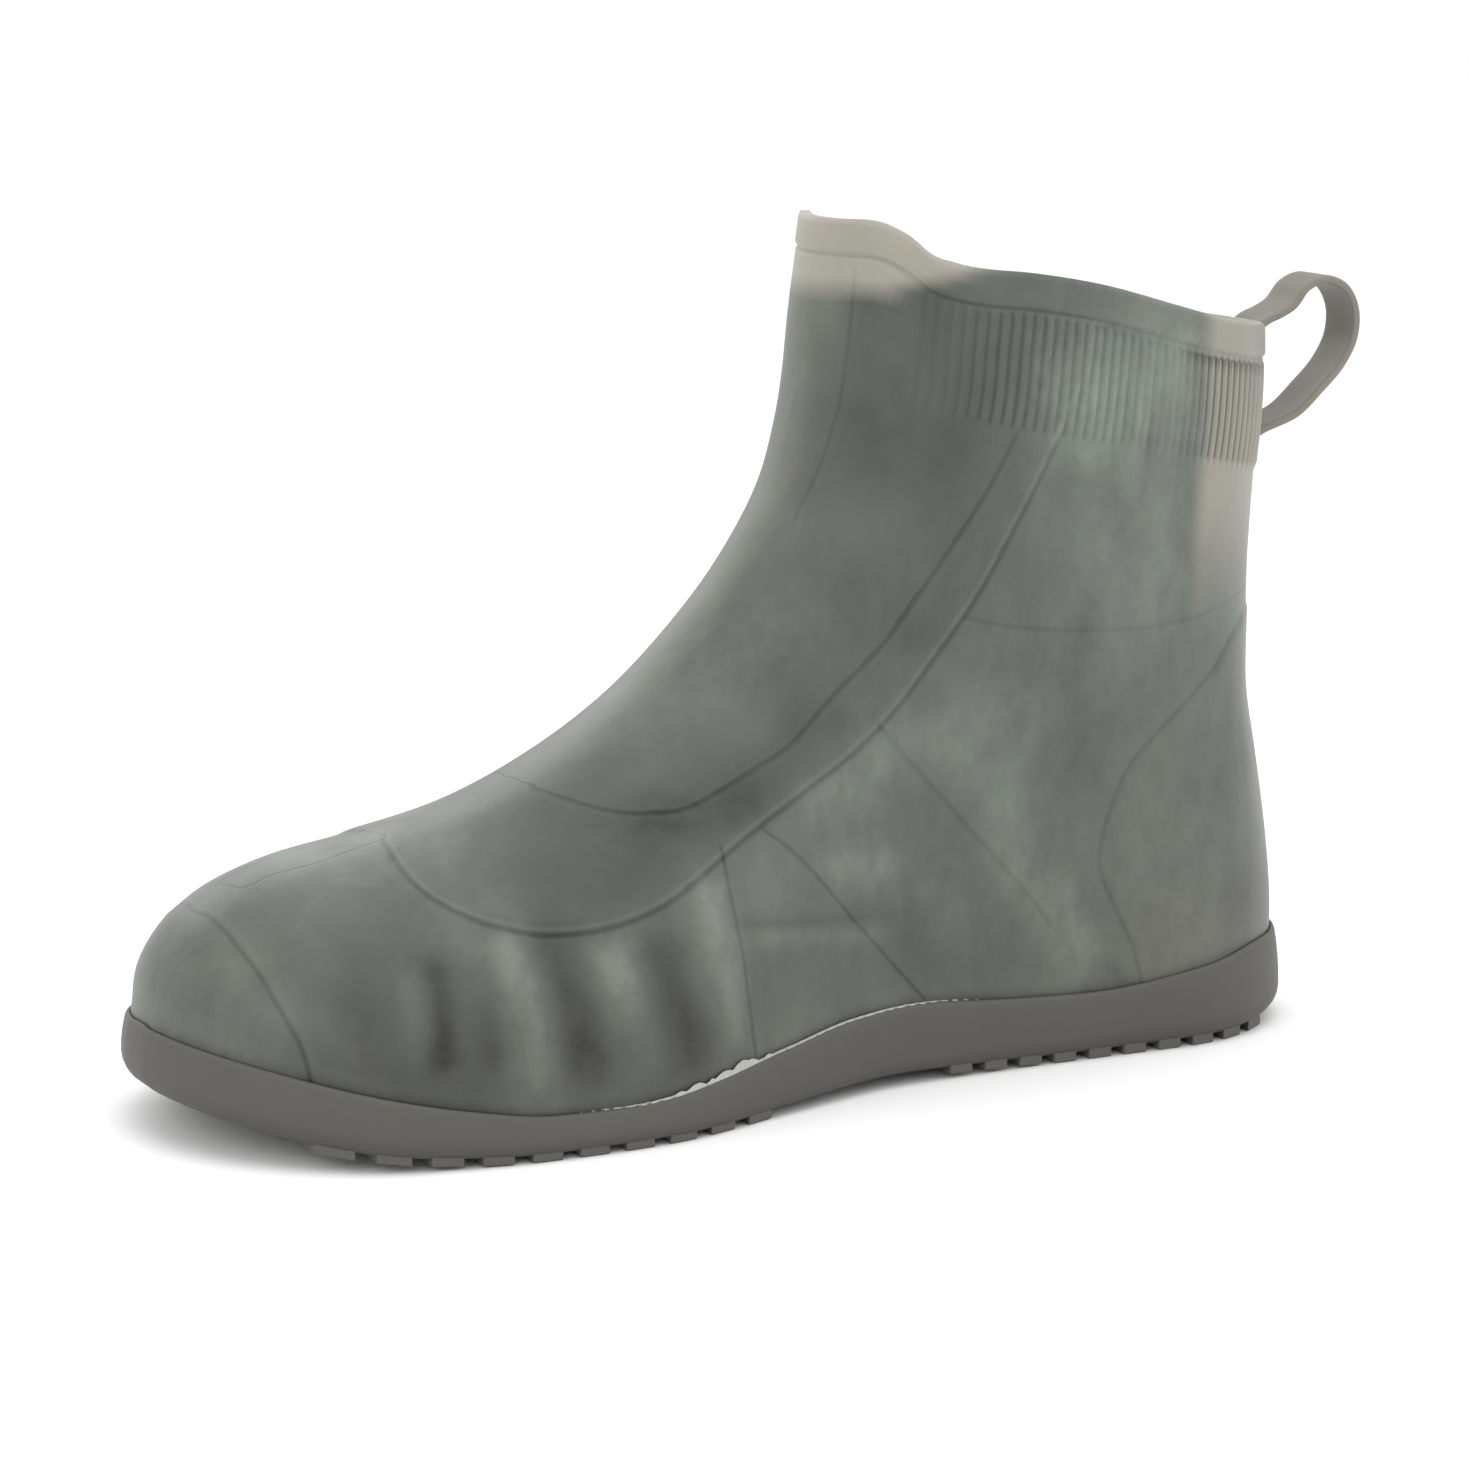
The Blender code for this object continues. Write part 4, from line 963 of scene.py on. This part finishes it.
class OVERSHOE_OT_upper(bpy.types.Operator):
    """Build the hollow upper with its rim, ribs, cured layers and creases"""

    bl_idname = "overshoe.upper"
    bl_label = "Upper"

    def execute(self, context):
        sizes = context.scene.overshoe_sizes
        shares, wave, groove = upper_shares(sizes.rib_pitch)
        rows = np.linspace(0, 1, sizes.body_rows)
        body = [round_ring(body_row(up, shares)) for up in rows]
        collar = [round_ring(collar_row(up, shares)) for up in COLLAR_ROWS]
        drops = [sizes.rim_height + more for more in RIM_FOOT_ROWS] + RIM_ROWS
        rim = [round_ring(below_rim(drop, shares)) for drop in drops]
        stack = np.array(body + collar + rim)
        out = ring_normals(stack)
        count_body, count_collar = len(body), len(collar)

        around = np.r_[wave, wave[-2:0:-1]]
        rib_fade = np.zeros(len(stack))
        rib_fade[count_body:count_body + count_collar + 1] = 1.0
        rib_fade[count_body] = 0.4
        rib_fade[count_body + count_collar + 1] = 0.5
        rib = rib_fade[:, None] * around[None, :]
        groove = rib_fade[:, None] * np.r_[groove, groove[-2:0:-1]][None, :]
        step = np.zeros(len(stack))
        step[-len(RIM_PROFILE):] = RIM_PROFILE

        fields = {
            name: signed_distance(stack, outline, outline[drawn])
            for name, (outline, drawn, _) in LAYERS.items()
        }
        seams = {name: seam_field(stack, line) for name, line in SEAM_LINES}
        stay_edge = abs(stack[..., 1]) - BACK_STAY_HALF
        stay_gate = soft_step(*BACK_STAY_END, stack[..., 0])
        seams["back stay"] = (stay_edge, stay_gate)
        rim_x, rim_z = RIM_LINE[::-1, 0], RIM_LINE[::-1, 1]
        rim_drop = np.interp(stack[..., 0], rim_x, rim_z) - stack[..., 2]

        relief = rib * sizes.rib_height + step[:, None] * sizes.rim_step + painted(stack, CREASES)
        under_rim = step[:, None] == 0
        for name, (_, _, share) in LAYERS.items():
            layer = soft_step(-LAYER_SOFT, LAYER_SOFT, fields[name])
            relief += sizes.layer_step * share * layer * under_rim
        stay = soft_step(0.001, -0.001, stay_edge) * stay_gate
        relief += sizes.layer_step * STAY_SHARE * stay * under_rim
        outer = stack + relief[..., None] * out

        lining_rows = [len(stack) - back for back in (1, 3, 5, 8)]
        lining_rows += list(range(count_body + count_collar - 2, count_body, -3))
        lining_rows += list(range(count_body - 1, 0, -3)) + [0]
        top = [stack[-1] - sizes.wall * share * out[-1] for share in ROLL_SHARES]
        lining = [stack[k] - sizes.wall * out[k] for k in lining_rows[1:]]
        low_outer, low_inner = outer[0].copy(), lining[-1].copy()
        low_outer[:, 2] = read_table(SOLE_LEVEL, 2, outer[0][:, 0]) + 0.0003
        low_inner[:, 2] = low_outer[:, 2]

        grid = np.array([low_outer, *outer, *top, *lining, low_inner])
        piece = grid_piece("moulded_upper", grid, make_smoke_rubber(), close_rows=True)
        last = len(stack) - 1
        source = np.r_[0, np.arange(len(stack)), last, last, lining_rows[1:], 0, 0]
        inside = np.zeros((len(source), 1))
        inside[len(stack) + 3:-1] = 1.0
        outside = 1 - inside
        table = {
            # Painted light and shade outside, and painted shade on the lining
            "painted_shading": painted(stack, PAINTED_SHADING_RUNS)[source] * outside + LINING_SHADE * inside,
            "pale": self.pale_share(stack)[source],
            "height": stack[source][..., 2],
            "groove": groove[source] * outside,
            "rim_drop": rim_drop[source] + inside,
            # Height over the joint with the sole, where the upper is darkened as painted shade
            "foot": (stack[..., 2] - read_table(FEATHER, 1, stack[..., 0]))[source] + inside,
        }
        for name, field in fields.items():
            table[name] = np.clip(field[source] + inside, -0.02, 1.0)
        for name, values in table.items():
            carry(piece, name, values)
        for name, (signed, gate) in seams.items():
            pair = np.stack([signed[source], gate[source] * outside], -1)
            carry_pair(piece, name.replace(" ", "_"), pair)
        sew(piece)
        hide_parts("upper")
        settle(piece)
        return {"FINISHED"}

    @staticmethod
    def pale_share(points):
        """Where painted light comes through the rubber, as nothing dark lies behind it: the tab
        and the strips up the front and back; and painted light along the front ridge and the
        heel's back.
        """
        x, y, z = points[..., 0], points[..., 1], points[..., 2]
        tab = soft_step(0.1860, 0.1910, z + 0.25 * (x - 0.112)) * soft_step(0.096, 0.110, x)
        strip_front = soft_step(0.0190, 0.0100, abs(y)) * soft_step(0.140, 0.192, z)
        strip_front = strip_front * soft_step(0.10, 0.12, x)
        strip_back = soft_step(0.0490, 0.0415, x) * soft_step(0.096, 0.138, z)
        # Painted light on the heel's back and along the front ridge
        heel = soft_step(0.026, 0.018, x) * soft_step(0.030, 0.060, z) * 0.22
        ridge = soft_step(0.0120, 0.0030, abs(y)) * soft_step(0.055, 0.075, z)
        ridge = ridge * soft_step(0.11, 0.13, x) * 0.16
        parts = [tab, strip_front * 0.20, strip_back * 0.8, heel, ridge]
        return np.clip(np.maximum.reduce(parts), 0, 1)


def plan_edge(count):
    """The upper's lower edge in plan, its outward directions and its height."""
    shares = (1 - np.cos(np.pi * np.linspace(0, 1, count))) / 2
    ring = round_ring(body_row(0.0, shares))
    edge = ring[:, :2]
    along = np.roll(edge, -1, 0) - np.roll(edge, 1, 0)
    outward = np.stack([along[:, 1], -along[:, 0]], 1)
    outward = outward / np.linalg.norm(outward, axis=1, keepdims=True)
    if outward[0, 0] < 0:
        outward = -outward
    return edge, outward, ring[:, 2]


def sole_ring(edge, outward, distance, heights=None, column=0):
    """A ring of the sole at a distance out from the upper's own edge."""
    ring = np.zeros((len(edge), 3))
    ring[:, :2] = edge + outward * np.reshape(distance, (-1, 1))
    if heights is None:
        heights = read_table(SOLE_LEVEL, column, ring[:, 0])
    ring[:, 2] = heights
    return ring


def middle_ring(edge, inset, column):
    """A ring folded flat onto the foot's middle line, which closes a face of the sole."""
    x = np.clip(edge[:, 0], edge[:, 0].min() + inset, edge[:, 0].max() - inset)
    z = read_table(SOLE_LEVEL, column, x)
    return np.stack([x, middle_line(x, z), z], 1)


# Gap that keeps one piece clear of the next
SEAT_GAP = 0.0003
# How far in from the edge the floor inside and the underside run before they turn flat
SOLE_INSET = 0.012
UNDER_INSET = 0.014
# Rounded lip of the sole: distance out from the upper's edge, height over the feather line
SOLE_LIP = [
    (0.00030, 0.0), (0.00055, 0.00025), (0.00095, 0.00025), (0.0014, -0.0002), (0.0017, -0.0009),
]
# How much the lip is rubbed pale, ring by ring
LIP_WEAR = (0.3, 0.9, 1.0, 0.9, 0.3)
# Rings down the side, as shares of its height, and round its lower edge, in degrees
SIDE_SHARES = (0.80, 0.55, 0.28, 0.0)
EDGE_TURNS = (15.0, 30.0, 45.0, 60.0, 75.0, 88.0)
# Columns of the sole on each side, and of the line that the lugs reach
SOLE_COLUMNS = 130
TREAD_COLUMNS = 60


class OVERSHOE_OT_sole(bpy.types.Operator):
    """Build the cup of the sole and its tread lugs"""

    bl_idname = "overshoe.sole"
    bl_label = "Sole"

    def execute(self, context):
        edge, outward, top = plan_edge(SOLE_COLUMNS)
        x = edge[:, 0]
        under = read_table(SOLE_LEVEL, 1, x)
        radius = read_table(SOLE_LEVEL, 3, x)
        bulge = read_table(SOLE_BULGE, 1, x)
        rings = [middle_ring(edge, SOLE_INSET, 2)]
        rings.append(sole_ring(edge, outward, -SOLE_INSET, column=2))
        rings.append(sole_ring(edge, outward, SEAT_GAP, column=2))
        rings += [sole_ring(edge, outward, away, top + rise) for away, rise in SOLE_LIP]
        lip_away, lip_rise = SOLE_LIP[-1]
        low = under + radius
        for share in SIDE_SHARES:
            away = lip_away + (bulge - lip_away) * (1 - share ** 2)
            rings.append(sole_ring(edge, outward, away, low + (top + lip_rise - low) * share))
        for turn in EDGE_TURNS:
            c, s = math.cos(math.radians(turn)), math.sin(math.radians(turn))
            away, height = bulge - radius * (1 - c), under + radius * (1 - s)
            rings.append(sole_ring(edge, outward, away, height))
        rings.append(sole_ring(edge, outward, bulge - radius * 1.2, column=1))
        rings.append(sole_ring(edge, outward, -UNDER_INSET, column=1))
        rings.append(middle_ring(edge, SOLE_INSET, 1))
        rubber = make_sole_rubber()
        piece = grid_piece("cup_sole", rings, rubber)
        edge_share = np.zeros((len(rings), len(edge)))
        edge_share[3:3 + len(LIP_WEAR)] = np.array(LIP_WEAR)[:, None]
        side_share = np.zeros((len(rings), len(edge)))
        side_share[5:8 + len(SIDE_SHARES)] = 1.0
        carry(piece, "edge", edge_share)
        carry(piece, "side", side_share)
        sew(piece, 2e-5)
        lugs = self.lugs(rubber)
        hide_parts("outsole")
        settle(piece)
        settle(lugs)
        return {"FINISHED"}

    def lugs(self, rubber):
        """One lug modelled as a bevelled block, copied along both rows of the tread."""
        blocks = []
        for first, last, count, length in LUG_ROWS:
            for centre in np.linspace(first, last, count):
                for part in range(LUG_SPLITS):
                    blocks.append(self.lug(centre, length, part))
        clear_selection()
        for block in blocks:
            block.select_set(True)
        bpy.context.view_layer.objects.active = blocks[0]
        bpy.ops.object.join()
        piece = bpy.context.object
        piece.name = "tread_lugs"
        piece.data.name = "tread_lugs"
        piece.data.materials.clear()
        piece.data.materials.append(rubber)
        # The lugs are painted paler, as painted light against their own shadow, and carry no
        # rubbed edge
        for name, share in (("edge", 0.0), ("side", LUG_PAINTED_LIGHT)):
            made = piece.data.attributes.new(name, "FLOAT", "POINT")
            made.data.foreach_set("value", np.full(len(piece.data.vertices), share, np.float32))
        return piece

    def lug(self, centre, length, part):
        """A single lug, its corners set on the tread and its edges softened."""
        clear_selection()
        bpy.ops.mesh.primitive_cube_add(size=1.0)
        block = bpy.context.object
        for vertex in block.data.vertices:
            x = centre + length * vertex.co.x
            low, high = tread_reach(x)
            span = (high - low - LUG_CHANNEL * (LUG_SPLITS - 1)) / LUG_SPLITS
            y = low + part * (span + LUG_CHANNEL) + span * (vertex.co.y + 0.5)
            z = float(read_table(SOLE_LEVEL, 1, x))
            z += LUG_ROOT if vertex.co.z > 0 else -LUG_DEPTH
            vertex.co = Vector((x, y, z)) + Vector(TABLE_ZERO)
        soft = block.modifiers.new("edges", "BEVEL")
        soft.width = LUG_ROUND
        soft.segments = 2
        bpy.ops.object.modifier_apply(modifier=soft.name)
        return block


EDGE, OUTWARD, _ = plan_edge(TREAD_COLUMNS)
# Edge of the flat underside in plan
FLAT_EDGE = EDGE + OUTWARD * (
    read_table(SOLE_BULGE, 1, EDGE[:, 0]) - read_table(SOLE_LEVEL, 3, EDGE[:, 0]) * LUG_SETBACK
)[:, None]


def tread_reach(x):
    """How far the flat underside reaches to the inner and the outer side at a station."""
    half = len(FLAT_EDGE) // 2
    outer = FLAT_EDGE[:half + 1][::-1]
    inner = np.vstack([FLAT_EDGE[half:], FLAT_EDGE[:1]])
    return tuple(float(np.interp(x, line[:, 0], line[:, 1])) for line in (inner, outer))


def back_curve(z, y):
    """How far forward the collar's back has curved at a distance from the middle."""
    x_back = float(np.interp(z, BACK_LINE[:, 1], BACK_LINE[:, 0]))
    xs = x_back + np.linspace(0, 0.006, 61)
    widths = half_width(xs, np.full(61, z), 1)
    return float(np.interp(abs(y), widths, xs)) - x_back


class OVERSHOE_OT_loop(bpy.types.Operator):
    """Build the pull loop's strap with rounded edges"""

    bl_idname = "overshoe.loop"
    bl_label = "Pull loop"

    def execute(self, context):
        sizes = context.scene.overshoe_sizes
        path = np.array(LOOP_PATH)
        offset = SEAT_GAP + sizes.loop_thick / 2
        for land, rows in LOOP_LANDS.items():
            proud = sizes.rim_step if land == "upper" else 0.0
            for row in rows:
                back = np.interp(path[row, 1], BACK_LINE[:, 1], BACK_LINE[:, 0])
                path[row, 0] = back - offset - proud
        landed = sum(LOOP_LANDS.values(), ())
        free = [row for row in range(len(path)) if row not in landed]
        path[free, 0] += LOOP_FORWARD
        path[:, 2] = path[:, 2] * sizes.loop_width
        line = smooth_line(path, LOOP_POINTS)
        share = np.clip(line[:, 2] / sizes.loop_width, 0, 1)
        across = np.linspace(-0.5, 0.5, LOOP_COLUMNS) * sizes.loop_width
        grid = np.zeros((len(line), len(across), 3))
        for i, (x, z, _) in enumerate(line):
            for k, y in enumerate(across):
                grid[i, k] = (x + share[i] * back_curve(z, y), y, z)
        piece = lay_grid("pull_strap", grid, make_loop_rubber())
        # Share of the way to the strap's edge, where its material paints light
        edge = piece.data.attributes.new("edge", "FLOAT", "POINT")
        share_across = abs(across) / across.max()
        edge.data.foreach_set("value", np.tile(share_across ** 6, len(line)).astype(np.float32))
        thick = piece.modifiers.new("thickness", "SOLIDIFY")
        thick.thickness = sizes.loop_thick
        thick.offset = 0.0
        thick.use_even_offset = True
        soft = piece.modifiers.new("edges", "BEVEL")
        soft.width = LOOP_ROUND
        soft.segments = 4
        soft.limit_method = "ANGLE"
        soft.angle_limit = math.radians(60)
        for modifier in ("thickness", "edges"):
            bpy.ops.object.modifier_apply(modifier=modifier)
        bpy.ops.object.shade_smooth()
        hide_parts("pull_loop")
        settle(piece)
        return {"FINISHED"}


class OVERSHOE_OT_cement(bpy.types.Operator):
    """Lay the thin bead of dried cement and its flakes along the sole's edge"""

    bl_idname = "overshoe.cement"
    bl_label = "Cement bead"

    def execute(self, context):
        first, last = CEMENT_RUN
        x = np.linspace(first, last, CEMENT_POINTS)
        share = (x - first) / (last - first)
        ends = soft_step(0.0, CEMENT_FADE[0], share) * soft_step(1.0, CEMENT_FADE[1], share)
        ragged = 0.5 + 0.5 * np.sin(x * CEMENT_WAVES[0]) * np.sin(x * CEMENT_WAVES[1] + 1.0)
        tall = ends * (CEMENT_HEIGHT + 2 * CEMENT_HEIGHT * ragged)
        showing = np.clip(ends * 1.2 + (ragged - 0.5) * 0.8, 0, 1)
        for _, centre, half, height in CEMENT_FLAKES:
            bump = np.clip(1 - abs((x - centre) / half + 0.15 * ragged) ** 1.6, 0, 1)
            tall = np.maximum(tall, bump * (height + 0.00012 * ragged))
            showing = np.maximum(showing, np.clip(bump * 4.0, 0, 1))
        edge = read_table(FEATHER, 1, x)
        rows = []
        for up in CEMENT_ROWS:
            row = lift(x, edge + tall * up + 0.00025, 1)
            row[:, 1] += CEMENT_PROUD + CEMENT_FOOT * (1 - max(up, 0.0))
            row[:, 1] -= CEMENT_SINK * (1 - showing)
            rows.append(row)
        piece = lay_grid("cement_bead", rows, make_cement_rubber())
        thick = piece.modifiers.new("thickness", "SOLIDIFY")
        thick.thickness = CEMENT_THICK
        thick.offset = 0.0
        bpy.ops.object.modifier_apply(modifier=thick.name)
        bpy.ops.object.mode_set(mode="EDIT")
        bpy.ops.mesh.select_all(action="SELECT")
        bpy.ops.mesh.normals_make_consistent(inside=False)
        bpy.ops.object.mode_set(mode="OBJECT")
        settle(piece)
        return {"FINISHED"}


class OVERSHOE_OT_stage(bpy.types.Operator):
    """Set the floor, the lights and the camera"""

    bl_idname = "overshoe.stage"
    bl_label = "Stage"

    def execute(self, context):
        clear_selection()
        bpy.ops.mesh.primitive_grid_add(x_subdivisions=4, y_subdivisions=4, size=FLOOR_SIZE)
        floor = bpy.context.object
        floor.name = "floor"
        floor.data.materials.append(make_floor_paint())
        self.lights(context)
        self.camera(context)
        return {"FINISHED"}

    def lights(self, context):
        """Large soft lights around the shoe, and a pale surround."""
        for name, place, aim, size, power in LAMPS:
            bpy.ops.object.light_add(type="AREA", location=place)
            lamp = bpy.context.object
            lamp.name = name
            lamp.data.shape = "DISK"
            lamp.data.size = size
            lamp.data.energy = power
            way = Vector(aim) - Vector(place)
            lamp.rotation_euler = way.to_track_quat("-Z", "Y").to_euler()
        world = bpy.data.worlds.new("pale_surround")
        world.use_nodes = True
        surround = world.node_tree.nodes["Background"]
        surround.inputs["Color"].default_value = (1.0, 1.0, 1.0, 1.0)
        surround.inputs["Strength"].default_value = SURROUND_STRENGTH
        context.scene.world = world
        context.scene.view_settings.view_transform = "Standard"

    def camera(self, context):
        """The photograph's view, worked out from its fitted turn, rise and focal length."""
        turn, rise = math.radians(CAMERA_TURN), math.radians(CAMERA_RISE)
        flat = math.cos(rise)
        back = Vector((math.sin(turn) * flat, math.cos(turn) * flat, math.sin(rise)))
        aim = Vector(CAMERA_AIM) + Vector(TABLE_ZERO)
        bpy.ops.object.camera_add(location=aim + back * CAMERA_FAR)
        camera = bpy.context.object
        camera.rotation_euler = (-back).to_track_quat("-Z", "Y").to_euler()
        tall = max(IMAGE_SIZE)
        camera.data.sensor_width = SENSOR
        camera.data.lens = CAMERA_FOCAL / tall * SENSOR
        context.scene.camera = camera


class OVERSHOE_PT_panel(bpy.types.Panel):
    """Buttons and sizes in the sidebar."""

    bl_label = "Overshoe"
    bl_idname = "OVERSHOE_PT_panel"
    bl_space_type = "VIEW_3D"
    bl_region_type = "UI"
    bl_category = "Overshoe"

    def draw(self, context):
        for name in ("wall", "rim_height", "rim_step", "rib_pitch", "rib_height", "layer_step",
                     "body_rows", "loop_width", "loop_thick"):
            self.layout.prop(context.scene.overshoe_sizes, name)
        for name in ("smoke", "brown", "pale", "sole", "cement"):
            self.layout.prop(context.scene.overshoe_colours, name)
        for operator in ("overshoe.upper", "overshoe.sole", "overshoe.loop",
                         "overshoe.cement", "overshoe.stage"):
            self.layout.operator(operator)


CLASSES = (
    OvershoeSizes, OvershoeColours, OVERSHOE_OT_upper, OVERSHOE_OT_sole, OVERSHOE_OT_loop,
    OVERSHOE_OT_cement, OVERSHOE_OT_stage, OVERSHOE_PT_panel,
)


def register():
    """Make the classes and the scene's settings known."""
    for item in CLASSES:
        bpy.utils.register_class(item)
    bpy.types.Scene.overshoe_sizes = bpy.props.PointerProperty(type=OvershoeSizes)
    bpy.types.Scene.overshoe_colours = bpy.props.PointerProperty(type=OvershoeColours)


def unregister():
    """Take them away again."""
    del bpy.types.Scene.overshoe_sizes
    del bpy.types.Scene.overshoe_colours
    for item in reversed(CLASSES):
        bpy.utils.unregister_class(item)


def main():
    """Build every piece."""
    register()
    bpy.ops.overshoe.upper()
    bpy.ops.overshoe.sole()
    bpy.ops.overshoe.loop()
    bpy.ops.overshoe.cement()
    bpy.ops.overshoe.stage()


if __name__ == "__main__":
    main()
